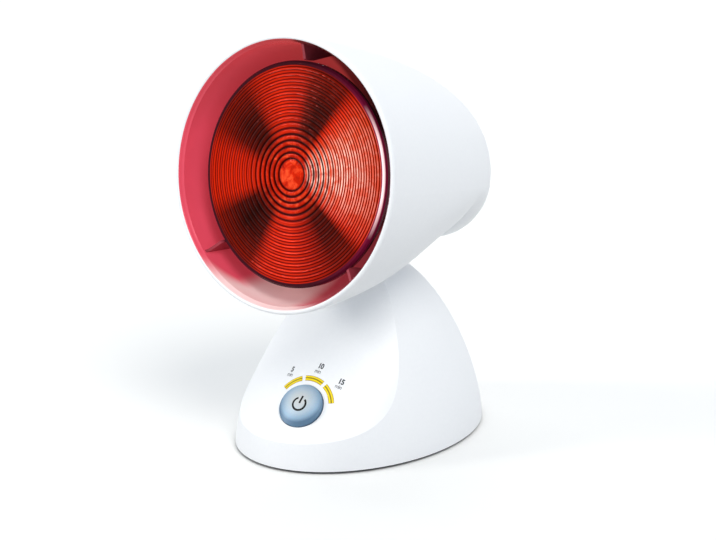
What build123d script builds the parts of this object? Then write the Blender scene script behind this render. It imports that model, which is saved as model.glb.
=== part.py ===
from build123d import *

import os
from math import cos, pi, radians, sin, sqrt

os.makedirs("parts", exist_ok=True)

# Infrared heat lamp: a bullet-shaped head tilts on the post of a dome-shaped base.
# Millimetres and degrees. X is to the right seen from the front, -Y is the front, +Z is up,
# and the table is at Z = 0. "Station" is a distance behind the rim along the head's axis.

# ---------------------------------------------------------------- sizes of the head
RIM_RADIUS = 73.8
HEAD_LENGTH = 140.0  # rim to rear opening
HEAD_WALL = 2.0
HEAD_TILT = 10.5  # nose up at rest
LIP_DEPTH = 3.0
LIP_WIDTH = 2.8
PROFILE_REACH = 1.048  # where the side profile would close, as a share of the length
PROFILE_BULGE = 1.3
PROFILE_TAIL = 0.2556
# Underside: depth below the axis as a share of the radius, from the lip to the rear opening.
UNDERSIDE = (1, 0.98, 0.947, 0.879, 0.77, 0.675, 0.545, 0.49, 0.70, 0.815, 0.902, 0.97, 1)
CAP_HEIGHT = 12.4
PLUG_WALL = 2.0
PLUG_DEPTH = 2.0
VENT_WIDTH = 2.4
VENT_PITCH = 6.0
VENT_MARGIN = 2.0
HEAD_BOSS_RADIUS = 3.5
HEAD_BOSS_LENGTH = 18.0
LINER_WALL = 1.0
LINER_DEPTH = 70.0
LINER_FULLNESS = 0.88  # radius half way down the liner, as a share of its front radius
LINER_BACK_RADIUS = 34.0
FIN_THICKNESS = 1.6
FIN_START = 1.5  # behind the lip
FIN_STEP = 3.0  # length of the fin's shoulder in front of the lamp
FIN_TAIL = 18.0
FIN_ANGLES = (0, 135, -135)  # from straight up

# ---------------------------------------------------------------- sizes of the lamp
BULB_RADIUS = 60.3
BULB_RECESS = 10.8  # rim plane to the edge of the glass
LENS_RIM = 2.6
LENS_DOME = 1.5
LENS_RING_RADIUS = 57.0
LENS_CENTRE_RADIUS = 8.5
LENS_RINGS = 15
RING_HEIGHT = 0.5
RIM_CHAMFER = 1.0
BOWL_RIM = 2.6
BOWL_LEDGE = 2.3
BOWL_SETBACK = 4.0  # bowl's vertex in front of the tilt axis
BOWL_GLASS = 2.3
NECK_RADIUS = 17.0
NECK_TAPER = 11.5  # length of the cone from the neck to the screw cap
FILAMENT_BACK = 14.0  # in front of the bowl's vertex
FILAMENT_RADIUS = 10.0
FILAMENT_WIRE = 0.8
LEAD_WIRE = 0.6
LEAD_SPREAD = 3.0
STEM_RADIUS = 4.0
STEM_SETBACK = 8.0
TIP_RADIUS = 4.5
TIP_HEIGHT = 0.9
TIP_SINK = 2.6  # lamp cap's end to the holder's floor
CONTACT_SHEET = 0.6
SCREW_CAP_RADIUS = 13.1
SCREW_CAP_LENGTH = 24.5
HOLDER_RADIUS = 17.5
HOLDER_LENGTH = 26.0
HOLDER_FLOOR = 2.4
HOLDER_ROUND = 1.2
THREAD_SHELL_WALL = 0.7
THREAD_SHELL_INSET = 1.0
RIVET_OFFSET = 9.0
RIVET_RADIUS = 1.5
RIVET_HEAD_RADIUS = 2.8
RIVET_HEAD_HEIGHT = 0.8

# ---------------------------------------------------------------- sizes of the tilt joint
PIVOT_SETBACK = 52.0  # rear opening to the tilt axis
PIVOT_Y = 13.0
PIVOT_RISE = 22.0  # tilt axis above the top of the dome
PIN_RADIUS = 3.0
POST_WIDTH = 18.0
POST_RADIUS = 7.0
POST_CORNER = 4.0
POST_BORE = 3.5
PIN_HEAD = 1.5
PIN_GROOVE = 0.6
PIN_GROOVE_WIDTH = 0.8
CLIP_RIM = 2.0
WASHER_THICKNESS = 0.8
BRACKET_SHEET = 2.0
BRACKET_SETBACK = 4.0  # rear opening to the bracket plate
ARM_HEIGHT = 5.0
ARM_DROP = 1.5  # holder's side to the top of the bracket's arms, inwards
ARM_NOSE = 2.0
ARM_HEEL = 12.0
AIR_HOLE_RADIUS = 3.5
AIR_HOLE_X = 18.0
AIR_HOLE_Y = 13.0
CLICK_CIRCLE = 5.0
NUB_RADIUS = 0.6
NUB_HEIGHT = 0.6
NOTCH_RADIUS = 0.8
NOTCH_DEPTH = 1.2
CLICK_STEP = 6.0  # tilt from one click to the next
CLICK_COUNT = 5
CLICKS_BELOW_REST = 1

# ---------------------------------------------------------------- sizes of the base
DOME_HALF_WIDTH = 60.5
DOME_HALF_LENGTH = 82.2
DOME_HEIGHT = 103.3
DOME_BULGE = 1.59
DOME_SIDE = 0.65
DOME_LEVELS = 9
LAND_DROP = 7.3  # the top is cut flat this far below the full dome
LAND_WALL = 5.0
BASE_WALL = 2.4
PANEL_ANGLE = 43.3  # lean of the control panel, from upright
PANEL_OUT = 69.0  # distance of the panel's crest from the origin
PANEL_ROUND = 64.6
SHELL_FOOT = 1.6  # shell's lower edge above the table
BOSS_RADIUS = 4.0
BOSS_HEIGHT = 28.0
BOSS_SIDE = 0.69  # bosses of the bottom plate, as a share of the half width
BOSS_END = 0.6  # and of the half length
PLATE_RIM = 0.8  # thickness of the bottom plate's rim under the shell
PLATE_CORE = 1.6  # thickness of its step inside the shell
PLATE_INSET = 0.6
PLATE_STEP = 1.0
PAD_SIDE = 0.5
PAD_END = 0.68
FOOT_PAD_RADIUS = 6.0
FOOT_PAD_THICKNESS = 1.6
GLAND_HEIGHT = 13.0
GLAND_RADIUS = 5.5
GLAND_FLANGE = 8.0
GLAND_LIP = 2.2
GLAND_ROUND = 1.2
GLAND_LENGTH = 8.0
GLAND_SINK = 2.0
GLAND_WALL = 3.0
GLAND_PAD_RIM = 1.0
GLAND_BORE = 3.4
NUT_HEIGHT = 3.0
FLANGE_DROP = 11.0  # top of the dome to the post's flange
FLANGE_THICKNESS = 3.5
FLANGE_WIDTH = 32.0
FLANGE_LENGTH = 37.0
FLANGE_BACK = 15.0  # pivot to the flange's rear edge
FLANGE_CORNER = 8.0
FRONT_SCREW_X = 9.5
REAR_SCREW_X = 8.5
FRONT_SCREW_INSET = 5.5
REAR_SCREW_INSET = 4.0
FLANGE_BOSS_RADIUS = 3.2
SOCKET_WALL = 3.0

# ---------------------------------------------------------------- sizes of the controls
CONTROL_TURN = 7.6  # round the panel's curve from its middle
CONTROL_V = -20.0  # up the panel from the foot of its normal through the origin
BUTTON_RADIUS = 12.5
BUTTON_CROWN = 2.6
BUTTON_LIFT = 0.3
BUTTON_TRAVEL = 1.0
BUTTON_BRIM = 1.7
BUTTON_BRIM_HEIGHT = 1.3
BUTTON_STEM = 2.5
WINDOW_RADIUS = 16.4
WINDOW_WIDTH = 2.2
WINDOW_SPAN = 38.0
WINDOWS = (("5min", 134), ("10min", 89), ("15min", 44))
GUIDE_BRIM = 1.0
GUIDE_DEPTH = 8.0
BOARD_WIDTH = 50.0
BOARD_LENGTH = 40.0
BOARD_SHIFT = 6.0  # board's middle above the button's
BOARD_CORNER = 3.0
BOARD_INSET = 4.0  # board's edge to its screws
BOARD_POST_RADIUS = 3.0
BOARD_THICKNESS = 1.6
BOARD_DEPTH = 12.4  # panel's surface to the top of the board
SWITCH_WIDTH = 6.0
SWITCH_HEIGHT = 3.5
PLUNGER_RADIUS = 1.7
PLUNGER_HEIGHT = 1.0
LED_RADIUS = 1.5
LED_GAP = 1.0
POWER_BOARD_WIDTH = 56.0
POWER_BOARD_LENGTH = 50.0
POWER_BOARD_Y = 22.0
POWER_BOARD_LIFT = 5.0
RELAY_LENGTH = 19.0
RELAY_WIDTH = 15.5
RELAY_HEIGHT = 15.5
RELAY_X = -12.0
RELAY_Y = -6.0
CAPACITOR_RADIUS = 5.0
CAPACITOR_HEIGHT = 12.5
CAPACITOR_X = 12.0
CAPACITOR_Y = -8.0
CASE_ROUND = 0.8
TERMINAL_LENGTH = 20.0
TERMINAL_WIDTH = 8.0
TERMINAL_HEIGHT = 10.0
TERMINAL_INSET = 5.0
TERMINAL_PITCH = 5.0
TERMINAL_HOLE = 1.8
TERMINAL_DEPTH = 6.0

# ---------------------------------------------------------------- screws
SCREW_RADIUS = 1.5
SCREW_HEAD = 2.8
SCREW_HEAD_HEIGHT = 1.6
SCREW_BITE = 11.0  # length in the boss
SMALL_SCREW_RADIUS = 1.0
SMALL_HEAD = 2.0
SMALL_HEAD_HEIGHT = 1.4
SMALL_BITE = 5.0
HOLE_SPARE = 1.0  # hole beyond the screw's tip

# ---------------------------------------------------------------- clearances
FIT = 0.05  # screws in their bosses, pins in their bores
SEAT_GAP = 0.3  # between pieces that seat without being fixed
RUN_GAP = 0.1  # beside a washer
NECK_GAP = 3.0  # round head of the post to the neck of the lamp
SLOT_GAP = 3.0  # post to the sides of its slot
HEAD_SCREW_GAP = 0.4  # bracket screws' heads to the plug of the rear cover
LINER_GAP = 0.9  # liner's front to the shell
FIN_GAP = 0.4  # fins to the lamp's rim
CLIP_GAP = 0.2

# ---------------------------------------------------------------- places that follow
LAND_HEIGHT = DOME_HEIGHT - LAND_DROP
PIVOT_HEIGHT = LAND_HEIGHT + PIVOT_RISE
PIVOT_BACK = HEAD_LENGTH - PIVOT_SETBACK
PIVOT_DROP = NECK_RADIUS + POST_RADIUS + NECK_GAP
BRACKET_STATION = HEAD_LENGTH - BRACKET_SETBACK
HOLDER_FRONT = BRACKET_STATION - HOLDER_LENGTH
HOLDER_BOTTOM = BRACKET_STATION - HOLDER_FLOOR
LENS_BACK = BULB_RECESS + LENS_RIM
BOWL_BACK = LENS_BACK + BOWL_RIM
BOWL_DEPTH = PIVOT_BACK - BOWL_SETBACK - BOWL_BACK
SHAFT_TOP = PIVOT_HEIGHT - POST_RADIUS
FLANGE_TOP = LAND_HEIGHT - FLANGE_DROP

backwards = Vector(0, cos(radians(HEAD_TILT)), -sin(radians(HEAD_TILT)))
upwards = Vector(0, sin(radians(HEAD_TILT)), cos(radians(HEAD_TILT)))
pivot = Vector(0, PIVOT_Y, PIVOT_HEIGHT)
rim_centre = pivot - backwards * PIVOT_BACK + upwards * PIVOT_DROP
panel_normal = Vector(0, -cos(radians(PANEL_ANGLE)), sin(radians(PANEL_ANGLE)))
panel_up = Vector(0, sin(radians(PANEL_ANGLE)), cos(radians(PANEL_ANGLE)))
panel_centre = panel_normal * (PANEL_OUT - PANEL_ROUND)
control_normal = Vector(1, 0, 0) * sin(radians(CONTROL_TURN)) + panel_normal * cos(radians(CONTROL_TURN))

# In head, local Y is up and local Z runs back from the rim. In side, local X runs back and
# local Y is up. In controls, local Y runs up the panel and local Z points out of it.
head = Plane(origin=rim_centre, x_dir=(-1, 0, 0), z_dir=backwards)
side = Plane(origin=rim_centre, x_dir=backwards, z_dir=(1, 0, 0))
head_axis = Axis(rim_centre, backwards)
panel_length = Plane(origin=(0, 0, 0), x_dir=(-1, 0, 0), z_dir=panel_up)
controls = Plane(
    origin=panel_centre + control_normal * PANEL_ROUND + panel_up * CONTROL_V,
    x_dir=Vector(1, 0, 0) * cos(radians(CONTROL_TURN)) - panel_normal * sin(radians(CONTROL_TURN)),
    z_dir=control_normal,
)
across = Plane(origin=pivot, x_dir=(0, 1, 0), z_dir=(1, 0, 0))


def keep(piece, name):
    """Label a finished piece and write it to its file."""
    piece.part.label = name
    export_step(piece.part, f"parts/{name}.step")


def head_radius(station):
    """Outer radius of the upper half of the head."""
    share = station / (PROFILE_REACH * HEAD_LENGTH)
    return RIM_RADIUS * (1 - share**PROFILE_BULGE) ** PROFILE_TAIL


def head_hull(wall):
    """Solid inside the head's outer surface, moved in by a wall; its stations close up to the rear."""
    step = radians(90) / (len(UNDERSIDE) - 1)
    with BuildPart() as hull:
        for index, depth_share in enumerate(UNDERSIDE):
            station = LIP_DEPTH + (HEAD_LENGTH - LIP_DEPTH) * sin(index * step)
            slope = head_radius(station - 0.5) - head_radius(station + 0.5)
            inset = wall * sqrt(1 + slope**2)
            radius = head_radius(station) - inset
            depth = head_radius(station) * depth_share - inset
            with BuildSketch(head.offset(station)):
                with BuildLine():
                    EllipticalCenterArc((0, 0), radius, radius, start_angle=0, arc_size=180)
                    EllipticalCenterArc((0, 0), radius, depth, start_angle=180, arc_size=180)
                make_face()
        loft()
    return hull.part


def dome_radii(height):
    """Half width and half length of the full dome at a height."""
    share = 1 - (height / DOME_HEIGHT) ** DOME_BULGE
    return DOME_HALF_WIDTH * share**DOME_SIDE, DOME_HALF_LENGTH * sqrt(share)


def dome_hull(wall, foot, top):
    """Solid inside the dome and behind its panel, moved in by a wall."""
    with BuildPart() as hull:
        for level in range(DOME_LEVELS + 1):
            height = foot + (top - foot) * level / DOME_LEVELS
            low = dome_radii(height - 0.5)
            high = dome_radii(height + 0.5)
            half_width, half_length = dome_radii(height)
            half_width -= wall * sqrt(1 + (low[0] - high[0]) ** 2)
            half_length -= wall * sqrt(1 + (low[1] - high[1]) ** 2)
            with BuildSketch(Plane.XY.offset(height)):
                Ellipse(half_width, half_length)
        loft()
        with BuildSketch(panel_length):
            with Locations((0, PANEL_OUT - PANEL_ROUND)):
                Circle(PANEL_ROUND - wall)
                Rectangle(4 * DOME_HALF_WIDTH, 4 * DOME_HALF_LENGTH, align=(Align.CENTER, Align.MAX))
        extrude(amount=3 * DOME_HEIGHT, both=True, mode=Mode.INTERSECT)
    return hull.part


# ---------------------------------------------------------------- head shell
# Lofted bullet with a rounded lip, an underside slot for the post and three screw bosses.
SLOT_FRONT = PIVOT_BACK - POST_RADIUS - SLOT_GAP
SLOT_BACK = PIVOT_BACK + 2 * POST_RADIUS
BOSS_FRONT = BRACKET_STATION - HEAD_BOSS_LENGTH
REAR_RADIUS = head_radius(HEAD_LENGTH)
rear_slope = head_radius(HEAD_LENGTH - 0.5) - head_radius(HEAD_LENGTH + 0.5)
PLUG_RADIUS = REAR_RADIUS - HEAD_WALL * sqrt(1 + rear_slope**2) - SEAT_GAP
HEAD_BOSS_CIRCLE = PLUG_RADIUS - PLUG_WALL - SCREW_HEAD - HEAD_SCREW_GAP
head_outer = head_hull(0)

with BuildPart() as head_bosses:
    with BuildSketch(head.offset(BOSS_FRONT)):
        with PolarLocations(HEAD_BOSS_CIRCLE, 3, start_angle=90):
            Circle(HEAD_BOSS_RADIUS)
            with Locations((RIM_RADIUS / 2, 0)):
                Rectangle(RIM_RADIUS, HEAD_WALL)
    extrude(amount=BRACKET_STATION - BOSS_FRONT)
    add(head_outer, mode=Mode.INTERSECT)

with BuildPart() as head_shell:
    add(head_outer)
    add(head_hull(HEAD_WALL), mode=Mode.SUBTRACT)
    with BuildSketch(side):
        with BuildLine():
            lip_outside = Line((LIP_DEPTH, head_radius(LIP_DEPTH)), (LIP_WIDTH / 2, RIM_RADIUS))
            lip_inside = Line((LIP_WIDTH / 2, RIM_RADIUS - LIP_WIDTH), (LIP_DEPTH, RIM_RADIUS - LIP_WIDTH))
            ThreePointArc(lip_outside @ 1, (0, RIM_RADIUS - LIP_WIDTH / 2), lip_inside @ 0)
            Line(lip_inside @ 1, lip_outside @ 0)
        make_face()
    revolve(axis=head_axis)
    with BuildSketch(head.offset(SLOT_FRONT)):
        with Locations((0, -NECK_RADIUS - NECK_GAP)):
            Rectangle(POST_WIDTH + 2 * SLOT_GAP, 2 * RIM_RADIUS, align=(Align.CENTER, Align.MAX))
    extrude(amount=SLOT_BACK - SLOT_FRONT, mode=Mode.SUBTRACT)
    add(head_bosses.part)
    with BuildSketch(head.offset(BRACKET_STATION)):
        with PolarLocations(HEAD_BOSS_CIRCLE, 3, start_angle=90):
            Circle(SCREW_RADIUS + FIT)
    extrude(amount=-SCREW_BITE - HOLE_SPARE, mode=Mode.SUBTRACT)
keep(head_shell, "head_shell")

# ---------------------------------------------------------------- rear cover
# Spherical cap with a plug that fits the rear opening, slotted for the warm air.
VENT_REACH = PLUG_RADIUS - PLUG_WALL - VENT_MARGIN
vent_rows = int(VENT_REACH / VENT_PITCH)

with BuildPart() as rear_cover:
    with BuildSketch(side):
        with BuildLine():
            outside = RadiusArc(
                (HEAD_LENGTH, REAR_RADIUS),
                (HEAD_LENGTH + CAP_HEIGHT, 0),
                (REAR_RADIUS**2 + CAP_HEIGHT**2) / (2 * CAP_HEIGHT),
            )
            Line(outside @ 1, (HEAD_LENGTH + CAP_HEIGHT - HEAD_WALL, 0))
            inside = RadiusArc(
                (HEAD_LENGTH + CAP_HEIGHT - HEAD_WALL, 0),
                (HEAD_LENGTH, PLUG_RADIUS - PLUG_WALL),
                -(PLUG_RADIUS**2 + CAP_HEIGHT**2) / (2 * CAP_HEIGHT),
            )
            Polyline(
                inside @ 1,
                (HEAD_LENGTH - PLUG_DEPTH, PLUG_RADIUS - PLUG_WALL),
                (HEAD_LENGTH - PLUG_DEPTH, PLUG_RADIUS),
                (HEAD_LENGTH, PLUG_RADIUS),
                outside @ 0,
            )
        make_face()
    revolve(axis=head_axis)
    with BuildSketch(head.offset(HEAD_LENGTH)):
        for row in range(-vent_rows, vent_rows + 1):
            vent_height = row * VENT_PITCH
            with Locations((0, vent_height)):
                SlotOverall(2 * sqrt(VENT_REACH**2 - vent_height**2), VENT_WIDTH)
    extrude(amount=2 * CAP_HEIGHT, mode=Mode.SUBTRACT)
keep(rear_cover, "rear_cover")

# ---------------------------------------------------------------- shade liner
# Deep bowl behind the lip, with three fins that centre the lamp.
LINER_RADIUS = RIM_RADIUS - HEAD_WALL - LINER_GAP
LINER_FRONT = (LIP_DEPTH, LINER_RADIUS)
LINER_MIDDLE = (LIP_DEPTH + LINER_DEPTH / 2, LINER_FULLNESS * LINER_RADIUS)
LINER_BACK = (LIP_DEPTH + LINER_DEPTH, LINER_BACK_RADIUS)
FIN_SEAT = BULB_RADIUS + FIN_GAP
FIN_FRONT = LIP_DEPTH + FIN_START

with BuildPart() as liner_form:
    with BuildSketch(side):
        with BuildLine():
            bowl = ThreePointArc(LINER_FRONT, LINER_MIDDLE, LINER_BACK)
            Polyline(bowl @ 1, (LINER_BACK[0], 0), (LIP_DEPTH, 0), bowl @ 0)
        make_face()
    revolve(axis=head_axis)

with BuildPart() as liner_fins:
    for angle in FIN_ANGLES:
        with BuildSketch(side.rotated((angle, 0, 0))):
            with BuildLine():
                ramp = Bezier(
                    (FIN_FRONT, LINER_RADIUS - LINER_WALL),
                    (FIN_FRONT + FIN_STEP, LINER_RADIUS - LINER_WALL),
                    (BULB_RECESS - FIN_STEP, FIN_SEAT),
                    (BULB_RECESS, FIN_SEAT),
                )
                Polyline(
                    ramp @ 1,
                    (BOWL_BACK, FIN_SEAT),
                    (BOWL_BACK + FIN_TAIL, LINER_RADIUS),
                    (FIN_FRONT, LINER_RADIUS),
                    ramp @ 0,
                )
            make_face()
        extrude(amount=FIN_THICKNESS / 2, both=True)
    add(liner_form.part, mode=Mode.INTERSECT)

with BuildPart() as shade_liner:
    add(liner_form.part)
    with BuildSketch(side):
        with BuildLine():
            bowl = ThreePointArc(
                (LINER_FRONT[0], LINER_FRONT[1] - LINER_WALL),
                (LINER_MIDDLE[0] - LINER_WALL / 2, LINER_MIDDLE[1] - LINER_WALL),
                (LINER_BACK[0], LINER_BACK[1] - 1.6 * LINER_WALL),
            )
            Polyline(bowl @ 1, (LINER_BACK[0], 0), (LIP_DEPTH, 0), bowl @ 0)
        make_face()
    revolve(axis=head_axis, mode=Mode.SUBTRACT)
    add(liner_fins.part)
keep(shade_liner, "shade_liner")

# ---------------------------------------------------------------- lamp lens
# Pressed glass front: a slight dome of round concentric ridges inside a plain rim.
def lens_station(radius):
    """Station of the lens's front at a radius."""
    return BULB_RECESS - LENS_DOME * (1 - (radius / LENS_RING_RADIUS) ** 2)


ring_pitch = (LENS_RING_RADIUS - LENS_CENTRE_RADIUS) / LENS_RINGS

with BuildPart() as bulb_lens:
    with BuildSketch(side):
        with BuildLine():
            ThreePointArc(
                (lens_station(0) - RING_HEIGHT, 0),
                (lens_station(LENS_CENTRE_RADIUS / 2) - 0.75 * RING_HEIGHT, LENS_CENTRE_RADIUS / 2),
                (lens_station(LENS_CENTRE_RADIUS), LENS_CENTRE_RADIUS),
            )
            for ring in range(LENS_RINGS):
                inner_edge = LENS_CENTRE_RADIUS + ring * ring_pitch
                outer_edge = inner_edge + ring_pitch
                SagittaArc(
                    (lens_station(inner_edge), inner_edge),
                    (lens_station(outer_edge), outer_edge),
                    RING_HEIGHT,
                )
            Polyline(
                (lens_station(LENS_RING_RADIUS), LENS_RING_RADIUS),
                (BULB_RECESS, BULB_RADIUS - RIM_CHAMFER),
                (BULB_RECESS + RIM_CHAMFER, BULB_RADIUS),
                (LENS_BACK, BULB_RADIUS),
                (LENS_BACK, 0),
                (lens_station(0) - RING_HEIGHT, 0),
            )
        make_face()
    revolve(axis=head_axis)
keep(bulb_lens, "bulb_lens")

# ---------------------------------------------------------------- lamp bowl
# Parabolic glass reflector from the rim to the neck, open to the lens in front.
BOWL_RADIUS = BULB_RADIUS - BOWL_LEDGE
BOWL_VERTEX = BOWL_BACK + BOWL_DEPTH
CAP_END = HOLDER_BOTTOM - TIP_SINK
CAP_START = CAP_END - SCREW_CAP_LENGTH
NECK_START = BOWL_VERTEX - BOWL_DEPTH * (NECK_RADIUS / BOWL_RADIUS) ** 2
NECK_END = CAP_START - NECK_TAPER
NECK_THROAT = SCREW_CAP_RADIUS - 0.9 * BOWL_GLASS


def bowl_points(shift, start, end):
    """Points on the bowl's parabola, moved forwards by a shift, between two stations."""
    points = []
    for step in range(7):
        station = start + (end - start) * step / 6
        radius = BOWL_RADIUS * sqrt((BOWL_VERTEX - shift - station) / BOWL_DEPTH)
        points.append((station, radius))
    return points


bowl_shift = 2.6 * BOWL_GLASS
with BuildPart() as bulb_reflector:
    with BuildSketch(side):
        with BuildLine():
            outside = Spline(bowl_points(0, BOWL_BACK, NECK_START))
            Polyline(
                outside @ 1,
                (NECK_END, NECK_RADIUS),
                (CAP_START, SCREW_CAP_RADIUS),
                (CAP_START, NECK_THROAT),
                (NECK_END, NECK_RADIUS - BOWL_GLASS),
                (NECK_START - bowl_shift / 3, NECK_RADIUS - BOWL_GLASS),
            )
            inner_end = NECK_START - bowl_shift
            inside = Spline(bowl_points(bowl_shift, LENS_BACK, inner_end))
            Line(inside @ 1, (NECK_START - bowl_shift / 3, NECK_RADIUS - BOWL_GLASS))
            Polyline(
                inside @ 0,
                (LENS_BACK, BULB_RADIUS),
                (BOWL_BACK - RIM_CHAMFER, BULB_RADIUS),
                outside @ 0,
            )
        make_face()
    revolve(axis=head_axis)
keep(bulb_reflector, "bulb_reflector")

# ---------------------------------------------------------------- lamp cap, contact and filament
CAP_SHEET = 1.0
CAP_CROWN = 2.0
with BuildPart() as bulb_cap:
    with BuildSketch(head.offset(CAP_START)):
        Circle(SCREW_CAP_RADIUS)
    extrude(amount=SCREW_CAP_LENGTH)
    with BuildSketch(head.offset(CAP_START)):
        Circle(SCREW_CAP_RADIUS - CAP_SHEET)
    extrude(amount=SCREW_CAP_LENGTH - CAP_CROWN, mode=Mode.SUBTRACT)
    with BuildSketch(head.offset(CAP_END)):
        Circle(TIP_RADIUS)
    extrude(amount=TIP_HEIGHT)
keep(bulb_cap, "bulb_cap")

FILAMENT_STATION = BOWL_VERTEX - FILAMENT_BACK
STEM_FRONT = NECK_START + STEM_SETBACK
with BuildPart() as bulb_filament:
    with BuildSketch(side):
        with BuildLine():
            Polyline(
                (STEM_FRONT, 0),
                (STEM_FRONT, STEM_RADIUS),
                (NECK_END, STEM_RADIUS),
                (CAP_START - CAP_CROWN, NECK_THROAT - SEAT_GAP),
                (CAP_START - SEAT_GAP, NECK_THROAT - SEAT_GAP),
                (CAP_START - SEAT_GAP, 0),
                close=True,
            )
        make_face()
    revolve(axis=head_axis)
    for turn in (1, -1):
        with BuildLine():
            lead = Line(
                head.offset(STEM_FRONT + LEAD_WIRE).from_local_coords(Vector(LEAD_SPREAD * turn, 0, 0)),
                head.offset(FILAMENT_STATION).from_local_coords(Vector(FILAMENT_RADIUS * turn, 0, 0)),
            )
        with BuildSketch(Plane(origin=lead @ 0, z_dir=lead % 0)):
            Circle(LEAD_WIRE)
        sweep(path=lead)
    filament_place = rim_centre + backwards * FILAMENT_STATION
    with BuildSketch(Plane(origin=filament_place, x_dir=backwards, z_dir=upwards)):
        with Locations((0, FILAMENT_RADIUS)):
            Circle(FILAMENT_WIRE)
    revolve(axis=head_axis)
keep(bulb_filament, "bulb_filament")

# ---------------------------------------------------------------- lamp holder
# Ceramic barrel with a threaded metal shell inside and a sprung contact in its floor.
SHELL_OUTER = SCREW_CAP_RADIUS + 0.2 + THREAD_SHELL_WALL
with BuildPart() as lampholder:
    with BuildSketch(head.offset(HOLDER_FRONT)):
        Circle(HOLDER_RADIUS)
    extrude(amount=HOLDER_LENGTH)
    fillet(lampholder.edges().filter_by(GeomType.CIRCLE).sort_by(head_axis)[0], HOLDER_ROUND)
    with BuildSketch(head.offset(HOLDER_FRONT)):
        Circle(SHELL_OUTER + RUN_GAP)
    extrude(amount=HOLDER_LENGTH - HOLDER_FLOOR, mode=Mode.SUBTRACT)
    with BuildSketch(head.offset(HOLDER_BOTTOM)):
        Circle(RIVET_RADIUS + FIT)
        with GridLocations(2 * RIVET_OFFSET, 0, 2, 1):
            Circle(RIVET_RADIUS + FIT)
    extrude(amount=HOLDER_FLOOR, mode=Mode.SUBTRACT)
keep(lampholder, "lampholder")

with BuildPart() as holder_thread_shell:
    with BuildSketch(head.offset(HOLDER_FRONT + THREAD_SHELL_INSET)):
        Circle(SHELL_OUTER)
        Circle(SHELL_OUTER - THREAD_SHELL_WALL, mode=Mode.SUBTRACT)
    extrude(amount=HOLDER_LENGTH - HOLDER_FLOOR - 2 * THREAD_SHELL_INSET)
keep(holder_thread_shell, "holder_thread_shell")

with BuildPart() as holder_contact:
    with BuildSketch(head.offset(CAP_END + TIP_HEIGHT)):
        Circle(TIP_RADIUS)
    extrude(amount=CONTACT_SHEET)
    with BuildSketch(head.offset(CAP_END + TIP_HEIGHT)):
        Circle(RIVET_RADIUS)
    extrude(amount=BRACKET_STATION - CAP_END - TIP_HEIGHT - SEAT_GAP)
keep(holder_contact, "holder_contact")

with BuildPart() as holder_rivets:
    with BuildSketch(head.offset(HOLDER_BOTTOM)):
        with GridLocations(2 * RIVET_OFFSET, 0, 2, 1):
            Circle(RIVET_HEAD_RADIUS)
    extrude(amount=-RIVET_HEAD_HEIGHT)
    with BuildSketch(head.offset(HOLDER_BOTTOM)):
        with GridLocations(2 * RIVET_OFFSET, 0, 2, 1):
            Circle(RIVET_RADIUS)
    extrude(amount=HOLDER_FLOOR + BRACKET_SHEET)
    with BuildSketch(head.offset(BRACKET_STATION + BRACKET_SHEET)):
        with GridLocations(2 * RIVET_OFFSET, 0, 2, 1):
            Circle(RIVET_HEAD_RADIUS)
    extrude(amount=RIVET_HEAD_HEIGHT)
keep(holder_rivets, "holder_rivets")

# ---------------------------------------------------------------- tilt bracket
# Steel plate behind the holder with two arms that reach forwards to the pivot.
EAR_INSIDE = POST_WIDTH / 2 + 2 * RUN_GAP + WASHER_THICKNESS
ARM_TOP = ARM_DROP - HOLDER_RADIUS
ARM_BOTTOM = ARM_TOP - ARM_HEIGHT
PLATE_RADIUS = PLUG_RADIUS - SEAT_GAP

with BuildPart() as bracket_arms:
    with BuildSketch(side):
        with Locations((PIVOT_BACK, -PIVOT_DROP)):
            Circle(POST_RADIUS)
        with BuildLine():
            Polyline(
                (PIVOT_BACK - POST_RADIUS, -PIVOT_DROP),
                (PIVOT_BACK - ARM_NOSE, ARM_TOP),
                (BRACKET_STATION, ARM_TOP),
                (BRACKET_STATION, ARM_BOTTOM),
                (PIVOT_BACK + ARM_HEEL, ARM_BOTTOM),
                (PIVOT_BACK + POST_RADIUS, -PIVOT_DROP),
                close=True,
            )
        make_face()
    extrude(amount=EAR_INSIDE + BRACKET_SHEET, both=True)
    with BuildSketch(side):
        with Locations((PIVOT_BACK, 0)):
            Rectangle(4 * HEAD_LENGTH, 4 * RIM_RADIUS)
    extrude(amount=EAR_INSIDE, both=True, mode=Mode.SUBTRACT)

with BuildPart() as tilt_bracket:
    with BuildSketch(head.offset(BRACKET_STATION)):
        Circle(PLATE_RADIUS)
        with PolarLocations(HEAD_BOSS_CIRCLE, 3, start_angle=90):
            Circle(SCREW_RADIUS + 2 * FIT, mode=Mode.SUBTRACT)
        with GridLocations(2 * RIVET_OFFSET, 0, 2, 1):
            Circle(RIVET_RADIUS + FIT, mode=Mode.SUBTRACT)
        with GridLocations(2 * AIR_HOLE_X, 2 * AIR_HOLE_Y, 2, 2):
            Circle(AIR_HOLE_RADIUS, mode=Mode.SUBTRACT)
    extrude(amount=BRACKET_SHEET)
    add(bracket_arms.part)
    with BuildSketch(across):
        Circle(PIN_RADIUS + FIT)
    extrude(amount=RIM_RADIUS, both=True, mode=Mode.SUBTRACT)
keep(tilt_bracket, "tilt_bracket")

with BuildPart() as bracket_screws:
    with BuildSketch(head.offset(BRACKET_STATION + BRACKET_SHEET)):
        with PolarLocations(HEAD_BOSS_CIRCLE, 3, start_angle=90):
            Circle(SCREW_HEAD)
    extrude(amount=SCREW_HEAD_HEIGHT)
    with BuildSketch(head.offset(BRACKET_STATION + BRACKET_SHEET)):
        with PolarLocations(HEAD_BOSS_CIRCLE, 3, start_angle=90):
            Circle(SCREW_RADIUS)
    extrude(amount=-BRACKET_SHEET - SCREW_BITE)
keep(bracket_screws, "bracket_screws")

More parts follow.
